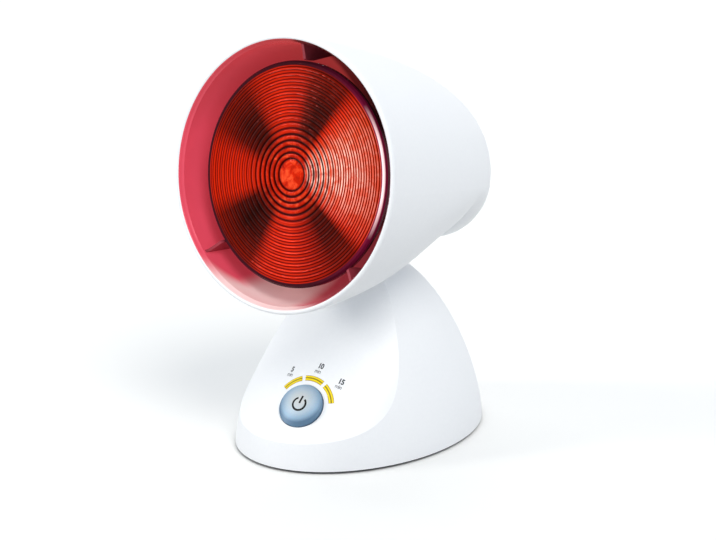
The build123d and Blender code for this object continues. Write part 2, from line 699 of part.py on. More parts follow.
# ---------------------------------------------------------------- tilt pin, clip and click washers
PIN_OUT = EAR_INSIDE + BRACKET_SHEET
with BuildPart() as tilt_pin:
    with BuildSketch(across.offset(-PIN_OUT - CLIP_GAP - 2 * PIN_GROOVE_WIDTH)):
        Circle(PIN_RADIUS)
    extrude(amount=2 * PIN_OUT + CLIP_GAP + 2 * PIN_GROOVE_WIDTH)
    with BuildSketch(across.offset(PIN_OUT)):
        Circle(PIN_RADIUS + PIN_HEAD)
    extrude(amount=PIN_HEAD)
    with BuildSketch(across.offset(-PIN_OUT - CLIP_GAP / 2)):
        Circle(PIN_RADIUS)
        Circle(PIN_RADIUS - PIN_GROOVE, mode=Mode.SUBTRACT)
    extrude(amount=-PIN_GROOVE_WIDTH, mode=Mode.SUBTRACT)
keep(tilt_pin, "tilt_pin")

with BuildPart() as pin_clip:
    with BuildSketch(across.offset(-PIN_OUT - CLIP_GAP)):
        Circle(PIN_RADIUS + CLIP_RIM)
        Circle(PIN_RADIUS - PIN_GROOVE + FIT, mode=Mode.SUBTRACT)
        Rectangle(
            2 * PIN_RADIUS - CLIP_RIM, 4 * PIN_RADIUS, align=(Align.CENTER, Align.MAX), mode=Mode.SUBTRACT
        )
    extrude(amount=CLIP_GAP - PIN_GROOVE_WIDTH)
keep(pin_clip, "pin_clip")

# The click washer's nub stands straight up from the pivot when the head is at rest.
with BuildPart() as click_washers:
    for turn in (1, -1):
        with BuildSketch(across.offset(turn * (POST_WIDTH / 2 + RUN_GAP))):
            Circle(POST_RADIUS)
            Circle(PIN_RADIUS + FIT, mode=Mode.SUBTRACT)
        extrude(amount=turn * WASHER_THICKNESS)
    with BuildSketch(across.offset(POST_WIDTH / 2 + RUN_GAP)):
        with Locations((0, CLICK_CIRCLE)):
            Circle(NUB_RADIUS)
    extrude(amount=-NUB_HEIGHT)
keep(click_washers, "click_washers")

# ---------------------------------------------------------------- pivot post
# Round-topped tongue through the top of the dome, on a flange screwed up under it.
FLANGE_FRONT = FLANGE_BACK - FLANGE_LENGTH
FLANGE_SCREWS = (
    (FRONT_SCREW_X, FLANGE_FRONT + FRONT_SCREW_INSET),
    (-FRONT_SCREW_X, FLANGE_FRONT + FRONT_SCREW_INSET),
    (REAR_SCREW_X, FLANGE_BACK - REAR_SCREW_INSET),
    (-REAR_SCREW_X, FLANGE_BACK - REAR_SCREW_INSET),
)
FLANGE_BITE = FLANGE_DROP - LAND_WALL / 2
post_section = Plane(origin=(0, PIVOT_Y, FLANGE_TOP - FLANGE_THICKNESS), z_dir=(0, 0, 1))

with BuildPart() as pivot_post:
    with BuildSketch(post_section):
        RectangleRounded(POST_WIDTH, 2 * POST_RADIUS, POST_CORNER)
    extrude(amount=SHAFT_TOP - FLANGE_TOP + FLANGE_THICKNESS)
    with BuildSketch(across):
        Circle(POST_RADIUS)
        Rectangle(2 * POST_RADIUS, 2 * POST_RADIUS, align=(Align.CENTER, Align.MAX))
    extrude(amount=POST_WIDTH / 2, both=True)
    with BuildSketch(post_section):
        with Locations((0, FLANGE_BACK - FLANGE_LENGTH / 2)):
            RectangleRounded(FLANGE_WIDTH, FLANGE_LENGTH, FLANGE_CORNER)
    extrude(amount=FLANGE_THICKNESS)
    with BuildSketch(post_section):
        Circle(POST_BORE)
    extrude(amount=SHAFT_TOP - FLANGE_TOP - FLANGE_THICKNESS, mode=Mode.SUBTRACT)
    with BuildSketch(across):
        Circle(PIN_RADIUS + FIT)
    extrude(amount=POST_WIDTH, both=True, mode=Mode.SUBTRACT)
    with BuildSketch(across.offset(POST_WIDTH / 2)):
        Circle(CLICK_CIRCLE + NUB_RADIUS + SEAT_GAP)
        Circle(CLICK_CIRCLE - NUB_RADIUS - SEAT_GAP, mode=Mode.SUBTRACT)
    extrude(amount=-NUB_HEIGHT, mode=Mode.SUBTRACT)
    with BuildSketch(across.offset(POST_WIDTH / 2)):
        for click in range(CLICK_COUNT):
            turned = radians(90 + (click - CLICKS_BELOW_REST) * CLICK_STEP)
            with Locations((CLICK_CIRCLE * cos(turned), CLICK_CIRCLE * sin(turned))):
                Circle(NOTCH_RADIUS)
    extrude(amount=-NOTCH_DEPTH, mode=Mode.SUBTRACT)
    with BuildSketch(post_section):
        with Locations(*FLANGE_SCREWS):
            Circle(SCREW_RADIUS + 2 * FIT)
    extrude(amount=FLANGE_THICKNESS, mode=Mode.SUBTRACT)
keep(pivot_post, "pivot_post")

# ---------------------------------------------------------------- base shell
# Dome with the curved panel cut across its front, a socket for the post and inner bosses.
PLATE_BOSS_X = BOSS_SIDE * DOME_HALF_WIDTH
PLATE_BOSS_Y = BOSS_END * DOME_HALF_LENGTH
CORE_TOP = SHELL_FOOT + PLATE_CORE
BUTTON_HOLE = BUTTON_RADIUS + SEAT_GAP
WINDOW_INNER = WINDOW_RADIUS - WINDOW_WIDTH / 2
WINDOW_OUTER = WINDOW_RADIUS + WINDOW_WIDTH / 2
WINDOW_GAP = 2 * RUN_GAP / WINDOW_RADIUS * 180 / pi  # clearance at a window's two ends, in degrees
BOARD_POST_X = BOARD_WIDTH / 2 - BOARD_INSET
BOARD_POST_Y = BOARD_LENGTH / 2 - BOARD_INSET
GLAND_SEAT = dome_radii(GLAND_HEIGHT)[1] - GLAND_SINK
gland = Plane(origin=(0, GLAND_SEAT, GLAND_HEIGHT), x_dir=(1, 0, 0), z_dir=(0, 1, 0))
dome_outer = dome_hull(0, SHELL_FOOT, LAND_HEIGHT)


def window_outline(inner, outer, angle, span):
    """Arc-shaped outline about the button, between two radii."""
    with BuildSketch() as outline:
        with BuildLine():
            inside = CenterArc((0, 0), inner, angle - span / 2, span)
            outside = CenterArc((0, 0), outer, angle - span / 2, span)
            Line(inside @ 0, outside @ 0)
            Line(inside @ 1, outside @ 1)
        make_face()
    return outline.sketch


with BuildPart() as base_bosses:
    with BuildSketch(Plane.XY.offset(CORE_TOP + RUN_GAP)):
        with GridLocations(2 * PLATE_BOSS_X, 2 * PLATE_BOSS_Y, 2, 2):
            Circle(BOSS_RADIUS)
    extrude(amount=BOSS_HEIGHT)
    with BuildSketch(post_section.offset(FLANGE_THICKNESS + RUN_GAP)):
        RectangleRounded(POST_WIDTH + 2 * SOCKET_WALL, 2 * POST_RADIUS + 2 * SOCKET_WALL, POST_CORNER)
        with Locations(*FLANGE_SCREWS):
            Circle(FLANGE_BOSS_RADIUS)
    extrude(amount=FLANGE_DROP)
    with BuildSketch(controls.offset(-BOARD_DEPTH)):
        with Locations((0, BOARD_SHIFT)):
            with GridLocations(2 * BOARD_POST_X, 2 * BOARD_POST_Y, 2, 2):
                Circle(BOARD_POST_RADIUS)
    extrude(amount=BOARD_DEPTH)
    with BuildSketch(gland.offset(-GLAND_WALL)):
        Circle(GLAND_FLANGE + GLAND_PAD_RIM)
    extrude(amount=2 * GLAND_WALL)
    add(dome_outer, mode=Mode.INTERSECT)

with BuildPart() as base_shell:
    add(dome_outer)
    add(dome_hull(BASE_WALL, SHELL_FOOT, LAND_HEIGHT - LAND_WALL), mode=Mode.SUBTRACT)
    add(base_bosses.part)
    with BuildSketch(post_section):
        RectangleRounded(
            POST_WIDTH + 2 * SEAT_GAP,
            2 * POST_RADIUS + 2 * SEAT_GAP,
            POST_CORNER + SEAT_GAP,
        )
    extrude(amount=DOME_HEIGHT, mode=Mode.SUBTRACT)
    with BuildSketch(post_section.offset(FLANGE_THICKNESS)):
        with Locations(*FLANGE_SCREWS):
            Circle(SCREW_RADIUS + FIT)
    extrude(amount=FLANGE_BITE + HOLE_SPARE, mode=Mode.SUBTRACT)
    with BuildSketch(controls.offset(-BOARD_DEPTH / 2)):
        Circle(BUTTON_HOLE)
    extrude(amount=BOARD_DEPTH, mode=Mode.SUBTRACT)
    for label, angle in WINDOWS:
        with BuildSketch(controls.offset(-BOARD_DEPTH)):
            add(
                window_outline(
                    WINDOW_INNER - RUN_GAP, WINDOW_OUTER + RUN_GAP, angle, WINDOW_SPAN + WINDOW_GAP
                )
            )
        extrude(amount=2 * BOARD_DEPTH, mode=Mode.SUBTRACT)
    with BuildSketch(controls.offset(-BOARD_DEPTH)):
        with Locations((0, BOARD_SHIFT)):
            with GridLocations(2 * BOARD_POST_X, 2 * BOARD_POST_Y, 2, 2):
                Circle(SMALL_SCREW_RADIUS + FIT)
    extrude(amount=SMALL_BITE + HOLE_SPARE, mode=Mode.SUBTRACT)
    with BuildSketch(Plane.XY.offset(CORE_TOP)):
        with GridLocations(2 * PLATE_BOSS_X, 2 * PLATE_BOSS_Y, 2, 2):
            Circle(SCREW_RADIUS + FIT)
    extrude(amount=SCREW_BITE + HOLE_SPARE, mode=Mode.SUBTRACT)
    with BuildSketch(gland):
        Circle(GLAND_FLANGE + SEAT_GAP)
    extrude(amount=GLAND_LENGTH, mode=Mode.SUBTRACT)
    with BuildSketch(gland):
        Circle(GLAND_RADIUS + RUN_GAP)
    extrude(amount=-GLAND_LENGTH, mode=Mode.SUBTRACT)
keep(base_shell, "base_shell")

with BuildPart() as post_screws:
    with BuildSketch(post_section):
        with Locations(*FLANGE_SCREWS):
            Circle(SCREW_HEAD)
    extrude(amount=-SCREW_HEAD_HEIGHT)
    with BuildSketch(post_section):
        with Locations(*FLANGE_SCREWS):
            Circle(SCREW_RADIUS)
    extrude(amount=FLANGE_THICKNESS + FLANGE_BITE)
keep(post_screws, "post_screws")

# ---------------------------------------------------------------- bottom plate, screws and feet
# A thin rim shows as a dark line under the shell; the thicker core locates inside it.
RIM_BOTTOM = SHELL_FOOT - PLATE_RIM
PAD_X = PAD_SIDE * DOME_HALF_WIDTH
PAD_Y = PAD_END * DOME_HALF_LENGTH
foot_width, foot_length = dome_radii(SHELL_FOOT)
POWER_POST_X = POWER_BOARD_WIDTH / 2 - BOARD_INSET
POWER_POST_Y = POWER_BOARD_LENGTH / 2 - BOARD_INSET

with BuildPart() as bottom_plate:
    with BuildSketch(Plane.XY.offset(RIM_BOTTOM)):
        Ellipse(foot_width - PLATE_INSET, foot_length - PLATE_INSET)
    extrude(amount=PLATE_RIM)
    with BuildSketch(Plane.XY.offset(SHELL_FOOT)):
        Ellipse(foot_width - BASE_WALL - PLATE_STEP, foot_length - BASE_WALL - PLATE_STEP)
    extrude(amount=PLATE_CORE)
    with BuildSketch(Plane.XY.offset(CORE_TOP)):
        with Locations((0, POWER_BOARD_Y)):
            with GridLocations(2 * POWER_POST_X, 2 * POWER_POST_Y, 2, 2):
                Circle(BOARD_POST_RADIUS)
    extrude(amount=POWER_BOARD_LIFT)
    with BuildSketch(Plane.XY.offset(CORE_TOP + POWER_BOARD_LIFT)):
        with Locations((0, POWER_BOARD_Y)):
            with GridLocations(2 * POWER_POST_X, 2 * POWER_POST_Y, 2, 2):
                Circle(SMALL_SCREW_RADIUS + FIT)
    extrude(amount=-SMALL_BITE, mode=Mode.SUBTRACT)
    with BuildSketch(Plane.XY.offset(RIM_BOTTOM)):
        with GridLocations(2 * PLATE_BOSS_X, 2 * PLATE_BOSS_Y, 2, 2):
            Circle(SCREW_RADIUS + 2 * FIT)
    extrude(amount=PLATE_RIM + PLATE_CORE, mode=Mode.SUBTRACT)
    with BuildSketch(Plane.XY.offset(RIM_BOTTOM)):
        with GridLocations(2 * PLATE_BOSS_X, 2 * PLATE_BOSS_Y, 2, 2):
            Circle(SCREW_HEAD + RUN_GAP)
        with GridLocations(2 * PAD_X, 2 * PAD_Y, 2, 2):
            Circle(FOOT_PAD_RADIUS + RUN_GAP)
    extrude(amount=PLATE_RIM, mode=Mode.SUBTRACT)
keep(bottom_plate, "bottom_plate")

with BuildPart() as rubber_feet:
    with BuildSketch(Plane.XY):
        with GridLocations(2 * PAD_X, 2 * PAD_Y, 2, 2):
            Circle(FOOT_PAD_RADIUS)
    extrude(amount=FOOT_PAD_THICKNESS)
keep(rubber_feet, "rubber_feet")

with BuildPart() as bottom_screws:
    with BuildSketch(Plane.XY.offset(SHELL_FOOT)):
        with GridLocations(2 * PLATE_BOSS_X, 2 * PLATE_BOSS_Y, 2, 2):
            Circle(SCREW_HEAD)
    extrude(amount=-PLATE_RIM)
    with BuildSketch(Plane.XY.offset(SHELL_FOOT)):
        with GridLocations(2 * PLATE_BOSS_X, 2 * PLATE_BOSS_Y, 2, 2):
            Circle(SCREW_RADIUS)
    extrude(amount=PLATE_CORE + SCREW_BITE)
keep(bottom_screws, "bottom_screws")

# ---------------------------------------------------------------- power button
# Domed cap with a flange behind the wall and a short stem over the push switch.
BRIM_RADIUS = BUTTON_RADIUS + BUTTON_BRIM
brim_top = PANEL_ROUND - sqrt((PANEL_ROUND - BASE_WALL) ** 2 - BRIM_RADIUS**2) + SEAT_GAP
brim_bottom = brim_top + BUTTON_BRIM_HEIGHT
SWITCH_TOP = BOARD_DEPTH - SWITCH_HEIGHT - PLUNGER_HEIGHT
STEM_END = SWITCH_TOP - BUTTON_TRAVEL - SEAT_GAP

with BuildPart() as power_button:
    with BuildSketch(Plane(origin=controls.origin, x_dir=controls.x_dir, z_dir=-controls.y_dir)):
        with BuildLine():
            crown = RadiusArc(
                (BUTTON_RADIUS, BUTTON_LIFT),
                (0, BUTTON_LIFT + BUTTON_CROWN),
                -(BUTTON_RADIUS**2 + BUTTON_CROWN**2) / (2 * BUTTON_CROWN),
            )
            Polyline(
                crown @ 1,
                (0, -STEM_END),
                (BUTTON_STEM, -STEM_END),
                (BUTTON_STEM, -brim_bottom),
                (BRIM_RADIUS, -brim_bottom),
                (BRIM_RADIUS, -brim_top),
                (BUTTON_RADIUS, -brim_top),
                crown @ 0,
            )
        make_face()
    revolve(axis=Axis(controls.origin, controls.z_dir))
keep(power_button, "power_button")

# ---------------------------------------------------------------- timer windows
# Arc-shaped light guides, flush with the panel and flanged behind its wall.
guide_limit = dome_hull(BASE_WALL + RUN_GAP, SHELL_FOOT, LAND_HEIGHT - LAND_WALL)
for label, angle in WINDOWS:
    with BuildPart() as guide_flange:
        with BuildSketch(controls.offset(-GUIDE_DEPTH)):
            add(window_outline(WINDOW_INNER, WINDOW_OUTER + GUIDE_BRIM, angle, WINDOW_SPAN + 4 * GUIDE_BRIM))
        extrude(amount=GUIDE_DEPTH)
        add(guide_limit, mode=Mode.INTERSECT)
    with BuildPart() as timer_window:
        with BuildSketch(controls.offset(-GUIDE_DEPTH)):
            add(window_outline(WINDOW_INNER, WINDOW_OUTER, angle, WINDOW_SPAN))
        extrude(amount=2 * GUIDE_DEPTH)
        add(dome_outer, mode=Mode.INTERSECT)
        add(guide_flange.part)
    keep(timer_window, f"timer_window_{label}")

# ---------------------------------------------------------------- control board and what it carries
board_centre = Location((0, BOARD_SHIFT))
with BuildPart() as control_board:
    with BuildSketch(controls.offset(-BOARD_DEPTH - RUN_GAP)):
        with Locations(board_centre):
            RectangleRounded(BOARD_WIDTH, BOARD_LENGTH, BOARD_CORNER)
            with GridLocations(2 * BOARD_POST_X, 2 * BOARD_POST_Y, 2, 2):
                Circle(SMALL_SCREW_RADIUS + 2 * FIT, mode=Mode.SUBTRACT)
    extrude(amount=-BOARD_THICKNESS)
keep(control_board, "control_board")

with BuildPart() as board_screws:
    with BuildSketch(controls.offset(-BOARD_DEPTH - RUN_GAP - BOARD_THICKNESS)):
        with Locations(board_centre):
            with GridLocations(2 * BOARD_POST_X, 2 * BOARD_POST_Y, 2, 2):
                Circle(SMALL_HEAD)
    extrude(amount=-SMALL_HEAD_HEIGHT)
    with BuildSketch(controls.offset(-BOARD_DEPTH - RUN_GAP - BOARD_THICKNESS)):
        with Locations(board_centre):
            with GridLocations(2 * BOARD_POST_X, 2 * BOARD_POST_Y, 2, 2):
                Circle(SMALL_SCREW_RADIUS)
    extrude(amount=BOARD_THICKNESS + SMALL_BITE)
keep(board_screws, "board_screws")

with BuildPart() as push_switch:
    with BuildSketch(controls.offset(-BOARD_DEPTH)):
        Rectangle(SWITCH_WIDTH, SWITCH_WIDTH)
    extrude(amount=SWITCH_HEIGHT)
    with BuildSketch(controls.offset(-BOARD_DEPTH + SWITCH_HEIGHT)):
        Circle(PLUNGER_RADIUS)
    extrude(amount=PLUNGER_HEIGHT)
keep(push_switch, "push_switch")

with BuildPart() as timer_leds:
    for label, angle in WINDOWS:
        with BuildSketch(controls.offset(-BOARD_DEPTH)):
            with Locations(
                (WINDOW_RADIUS * cos(radians(angle)), WINDOW_RADIUS * sin(radians(angle)))
            ):
                Circle(LED_RADIUS)
        extrude(amount=BOARD_DEPTH - GUIDE_DEPTH - LED_GAP)
keep(timer_leds, "timer_leds")

# ---------------------------------------------------------------- power board and what it carries
POWER_BOARD_TOP = CORE_TOP + POWER_BOARD_LIFT + BOARD_THICKNESS
power_plane = Plane(origin=(0, POWER_BOARD_Y, POWER_BOARD_TOP), z_dir=(0, 0, 1))
with BuildPart() as power_board:
    with BuildSketch(power_plane):
        RectangleRounded(POWER_BOARD_WIDTH, POWER_BOARD_LENGTH, BOARD_CORNER)
        with GridLocations(2 * POWER_POST_X, 2 * POWER_POST_Y, 2, 2):
            Circle(SMALL_SCREW_RADIUS + 2 * FIT, mode=Mode.SUBTRACT)
    extrude(amount=-BOARD_THICKNESS)
keep(power_board, "power_board")

with BuildPart() as power_board_screws:
    with BuildSketch(power_plane):
        with GridLocations(2 * POWER_POST_X, 2 * POWER_POST_Y, 2, 2):
            Circle(SMALL_HEAD)
    extrude(amount=SMALL_HEAD_HEIGHT)
    with BuildSketch(power_plane):
        with GridLocations(2 * POWER_POST_X, 2 * POWER_POST_Y, 2, 2):
            Circle(SMALL_SCREW_RADIUS)
    extrude(amount=HOLE_SPARE - BOARD_THICKNESS - SMALL_BITE)
keep(power_board_screws, "power_board_screws")

with BuildPart() as relay:
    with BuildSketch(power_plane):
        with Locations((RELAY_X, RELAY_Y)):
            RectangleRounded(RELAY_LENGTH, RELAY_WIDTH, CASE_ROUND)
    extrude(amount=RELAY_HEIGHT)
    fillet(relay.faces().sort_by(Axis.Z)[-1].edges(), CASE_ROUND / 2)
keep(relay, "relay")

with BuildPart() as capacitor:
    with BuildSketch(power_plane):
        with Locations((CAPACITOR_X, CAPACITOR_Y)):
            Circle(CAPACITOR_RADIUS)
    extrude(amount=CAPACITOR_HEIGHT)
    fillet(capacitor.edges().filter_by(GeomType.CIRCLE).sort_by(Axis.Z)[-1], CASE_ROUND)
keep(capacitor, "capacitor")

with BuildPart() as terminal_block:
    with BuildSketch(power_plane):
        with Locations((0, POWER_BOARD_LENGTH / 2 - TERMINAL_INSET)):
            Rectangle(TERMINAL_LENGTH, TERMINAL_WIDTH)
    extrude(amount=TERMINAL_HEIGHT)
    with BuildSketch(power_plane.offset(TERMINAL_HEIGHT)):
        with Locations((0, POWER_BOARD_LENGTH / 2 - TERMINAL_INSET)):
            with GridLocations(TERMINAL_PITCH, 0, 3, 1):
                Circle(TERMINAL_HOLE)
    extrude(amount=-TERMINAL_DEPTH, mode=Mode.SUBTRACT)
keep(terminal_block, "terminal_block")

# ---------------------------------------------------------------- cord gland
# Flanged bush through the back of the dome, held by a nut inside. The cord itself is left out.
with BuildPart() as cord_gland:
    with BuildSketch(gland):
        Circle(GLAND_FLANGE)
    extrude(amount=GLAND_LIP)
    fillet(cord_gland.edges().filter_by(GeomType.CIRCLE).sort_by(Axis.Y)[-1], GLAND_ROUND)
    with BuildSketch(gland):
        Circle(GLAND_RADIUS)
    extrude(amount=-GLAND_LENGTH)
    with BuildSketch(gland):
        Circle(GLAND_BORE)
    extrude(amount=2 * GLAND_LENGTH, both=True, mode=Mode.SUBTRACT)
keep(cord_gland, "cord_gland")

with BuildPart() as gland_nut:
    with BuildSketch(gland.offset(-GLAND_WALL - RUN_GAP)):
        RegularPolygon(GLAND_FLANGE, 6)
        Circle(GLAND_RADIUS + FIT, mode=Mode.SUBTRACT)
    extrude(amount=-NUT_HEIGHT)
keep(gland_nut, "gland_nut")
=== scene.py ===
from math import cos, pi, radians, sin, sqrt

import bmesh
import bpy
from mathutils import Matrix, Vector


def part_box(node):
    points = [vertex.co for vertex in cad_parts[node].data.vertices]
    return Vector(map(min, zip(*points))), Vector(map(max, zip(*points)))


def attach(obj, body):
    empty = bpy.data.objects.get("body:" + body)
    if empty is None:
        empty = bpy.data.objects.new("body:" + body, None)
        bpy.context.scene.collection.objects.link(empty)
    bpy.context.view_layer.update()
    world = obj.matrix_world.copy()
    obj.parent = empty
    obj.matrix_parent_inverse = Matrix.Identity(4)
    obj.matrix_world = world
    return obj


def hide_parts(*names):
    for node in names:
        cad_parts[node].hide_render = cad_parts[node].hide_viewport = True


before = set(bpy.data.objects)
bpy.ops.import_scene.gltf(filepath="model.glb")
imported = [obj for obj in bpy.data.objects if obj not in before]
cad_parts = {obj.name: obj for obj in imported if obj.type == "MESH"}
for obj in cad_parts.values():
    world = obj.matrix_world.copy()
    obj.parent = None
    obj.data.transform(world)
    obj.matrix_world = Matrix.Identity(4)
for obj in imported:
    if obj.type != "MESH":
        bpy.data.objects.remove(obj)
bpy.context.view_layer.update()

# ---------------------------------------------------------------- base housing
# The dome that stands on the table: injection moulded white ABS, with a curved control panel
# cut into its front and a flat land on top for the post. It is screwed to the bottom plate.


def linear(code):
    """An sRGB hex colour as a linear one."""
    shares = [int(code[place:place + 2], 16) / 255 for place in (0, 2, 4)]
    return [s / 12.92 if s <= 0.04045 else ((s + 0.055) / 1.055) ** 2.4 for s in shares] + [1.0]


def add_node(tree, kind, settings=None, links=None):
    """Add a shader node. Settings are its inputs, by name or number, or its properties."""
    node = tree.nodes.new("ShaderNode" + kind)
    for name, value in (settings or {}).items():
        if isinstance(name, int) or name in node.inputs:
            node.inputs[name].default_value = value
        else:
            setattr(node, name, value)
    for name, source in (links or {}).items():
        tree.links.new(source, node.inputs[name])
    return node


def start_material(name, shader):
    """A material with one Principled shader, whose sockets are given by name."""
    material = bpy.data.materials.new(name)
    material.use_nodes = True
    tree = material.node_tree
    tree.nodes.clear()
    skin = add_node(tree, "BsdfPrincipled", shader)
    add_node(tree, "OutputMaterial", links={"Surface": skin.outputs[0]})
    return material, tree, skin


def speckle(tree, skin, grain_mm, codes, roughness=None, bump_mm=0.0):
    """Vary a surface's colour, roughness and height with a noise of one grain size."""
    place = add_node(tree, "TexCoord").outputs["Object"]
    grain = {"Scale": 1000 / grain_mm, "Detail": 3.0}
    noise = add_node(tree, "TexNoise", grain, {"Vector": place}).outputs[0]
    colours = {"data_type": "RGBA", 6: linear(codes[0]), 7: linear(codes[1])}
    mix = add_node(tree, "Mix", colours, {0: noise})
    tree.links.new(mix.outputs[2], skin.inputs["Base Color"])
    if roughness:
        limits = {"To Min": roughness[0], "To Max": roughness[1]}
        spread = add_node(tree, "MapRange", limits, {"Value": noise})
        tree.links.new(spread.outputs[0], skin.inputs["Roughness"])
    if bump_mm:
        bump = add_node(tree, "Bump", {"Strength": 1.0, "Distance": bump_mm / 1000}, {"Height": noise})
        tree.links.new(bump.outputs[0], skin.inputs["Normal"])


def dress(material, *names):
    """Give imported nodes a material."""
    for name in names:
        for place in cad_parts[name].material_slots:
            place.material = material


# Moulded ABS, lightly textured tool: satin, very slightly uneven white.
white_abs, tree, skin = start_material("white_abs_moulded", {"IOR": 1.53, "Roughness": 0.42})
speckle(tree, skin, 1.6, ("F1F3F6", "F6F8FA"), (0.38, 0.46), 0.006)
dress(white_abs, "base_shell")

# ---------------------------------------------------------------- timer windows
# Three arcs of yellow acrylic round the button, pressed in from inside, each with a polished face
# that stands a hair proud of the panel. The guide's core shows as a dark line down its middle.
PANEL_LEAN = radians(43.3)
PANEL_ROUND = 0.0646
PANEL_OUT = 0.069
CONTROL_TURN = radians(7.6)
CONTROL_UP = -0.020
WINDOW_INSIDE = 0.0153
WINDOW_OUTSIDE = 0.0183
WINDOW_SPAN = 38
WINDOW_SUNK = 0.0004
WINDOW_PROUD = 0.00014
WINDOW_SHOULDER = 0.00006
WINDOW_BEVEL = 0.0002
WINDOW_STEPS = 24
WINDOWS = (("5min", 134), ("10min", 89), ("15min", 44))

panel_normal = Vector((0, -cos(PANEL_LEAN), sin(PANEL_LEAN)))
panel_up = Vector((0, sin(PANEL_LEAN), cos(PANEL_LEAN)))
control_out = Vector((sin(CONTROL_TURN), 0, 0)) + panel_normal * cos(CONTROL_TURN)
control_right = Vector((cos(CONTROL_TURN), 0, 0)) - panel_normal * sin(CONTROL_TURN)
control_centre = (
    panel_normal * (PANEL_OUT - PANEL_ROUND) + control_out * PANEL_ROUND + panel_up * CONTROL_UP
)
control_axes = Matrix((control_right, panel_up, control_out)).transposed().to_4x4()
controls = Matrix.Translation(control_centre) @ control_axes


def panel_fall(right):
    """How far the curved panel falls back, this far to the right of the button's middle."""
    return sqrt(PANEL_ROUND**2 - right**2) - PANEL_ROUND


def make_piece(name, shape, *materials):
    """Turn a finished bmesh into an object."""
    mesh = bpy.data.meshes.new(name)
    shape.to_mesh(mesh)
    shape.free()
    for material in materials:
        mesh.materials.append(material)
    piece = bpy.data.objects.new(name, mesh)
    bpy.context.collection.objects.link(piece)
    return piece


def turned_place(tree, place):
    """Distance from a turned piece's axis, share of a turn from its top, and height along the axis.

    The piece's own frame has X to the right, Y up and Z out of its front. The turn is clockwise.
    """
    point = add_node(tree, "TexCoord").outputs["Object"]
    turn = {"vector_type": "TEXTURE", "Location": place.translation, "Rotation": place.to_euler()}
    point = add_node(tree, "Mapping", turn, {"Vector": point}).outputs[0]
    parts = add_node(tree, "SeparateXYZ", links={0: point}).outputs
    across = add_node(tree, "Math", {"operation": "MULTIPLY"}, {0: parts[0], 1: parts[0]}).outputs[0]
    square = add_node(
        tree, "Math", {"operation": "MULTIPLY_ADD"}, {0: parts[1], 1: parts[1], 2: across}
    ).outputs[0]
    radius = add_node(tree, "Math", {"operation": "SQRT"}, {0: square}).outputs[0]
    angle = add_node(tree, "Math", {"operation": "ARCTAN2"}, {0: parts[0], 1: parts[1]}).outputs[0]
    angle = add_node(tree, "Math", {"operation": "DIVIDE", 1: 2 * pi}, {0: angle}).outputs[0]
    return radius, add_node(tree, "Math", {"operation": "FRACT"}, {0: angle}).outputs[0], parts[2]


def colour_ramp(tree, factor, stops):
    """Colours along a factor from 0 to 1, as (place, sRGB hex) stops."""
    ramp = add_node(tree, "ValToRGB", links={0: factor})
    for index, (place, code) in enumerate(stops):
        if index < 2:
            stop = ramp.color_ramp.elements[index]
            stop.position = place
        else:
            stop = ramp.color_ramp.elements.new(place)
        stop.color = linear(code)
    return ramp.outputs[0]


# Tinted acrylic, polished: bright lemon, olive over the core and dull gold along the edges.
window_acrylic, tree, skin = start_material("yellow_acrylic_polished", {"IOR": 1.49, "Roughness": 0.15})
radius = turned_place(tree, controls)[0]
share = add_node(
    tree, "MapRange", {"From Min": WINDOW_INSIDE, "From Max": WINDOW_OUTSIDE}, {"Value": radius}
)
WINDOW_STOPS = (
    (0.0, "D8B818"), (0.08, "C09A08"), (0.16, "F6E00C"), (0.34, "F6DC08"),
    (0.42, "A88A06"), (0.50, "6E5A04"), (0.58, "A88A06"),
    (0.66, "F6DC08"), (0.84, "F6E00C"), (0.92, "B08C08"), (1.0, "D0AC14"),
)
tree.links.new(colour_ramp(tree, share.outputs[0], WINDOW_STOPS), skin.inputs["Base Color"])

for name, angle in WINDOWS:
    shape = bmesh.new()
    corners = [
        shape.verts.new((right, 0, out))
        for right, out in (
            (WINDOW_INSIDE, -WINDOW_SUNK), (WINDOW_INSIDE, WINDOW_SHOULDER),
            (WINDOW_INSIDE + WINDOW_BEVEL, WINDOW_PROUD), (WINDOW_OUTSIDE - WINDOW_BEVEL, WINDOW_PROUD),
            (WINDOW_OUTSIDE, WINDOW_SHOULDER), (WINDOW_OUTSIDE, -WINDOW_SUNK),
        )
    ]
    section = shape.faces.new(corners)
    geometry = [section] + list(section.edges) + corners
    start = Matrix.Rotation(radians(angle - WINDOW_SPAN / 2), 3, "Z")
    bmesh.ops.rotate(shape, cent=(0, 0, 0), matrix=start, verts=corners)
    bmesh.ops.spin(
        shape, geom=geometry, axis=(0, 0, 1), angle=radians(WINDOW_SPAN), steps=WINDOW_STEPS
    )
    for vertex in shape.verts:
        vertex.co.z += panel_fall(vertex.co.x)
    bmesh.ops.transform(shape, matrix=controls, verts=shape.verts)
    bmesh.ops.recalc_face_normals(shape, faces=shape.faces)
    window = make_piece(f"window_face_{name}", shape, window_acrylic)
    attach(window, "base")
dress(window_acrylic, "timer_window_5min", "timer_window_10min", "timer_window_15min")

# ---------------------------------------------------------------- panel print
# Minute marks outside the windows: one pass of pad printed grey ink on the moulded panel,
# a few hundredths of a millimetre thick.
FIGURE_SIZE = 0.0031
WORD_SIZE = 0.0024
INK_THICKNESS = 0.00005
FONT_SCALE = 1.38  # size of the font for a capital one unit high
INK_SPREAD = 0.00015  # widening of the figures' strokes on each side
TRACKING = 0.9  # spacing of the letters, as a share of the plain one
CONDENSED = 0.85  # width of the letters, as a share of the plain ones
PRINT = (
    ("5", -0.0160, 0.0190, FIGURE_SIZE), ("min", -0.0160, 0.0158, WORD_SIZE),
    ("10", 0.0004, 0.0248, FIGURE_SIZE), ("min", 0.0000, 0.0215, WORD_SIZE),
    ("15", 0.0151, 0.0203, FIGURE_SIZE), ("min", 0.0148, 0.0171, WORD_SIZE),
)

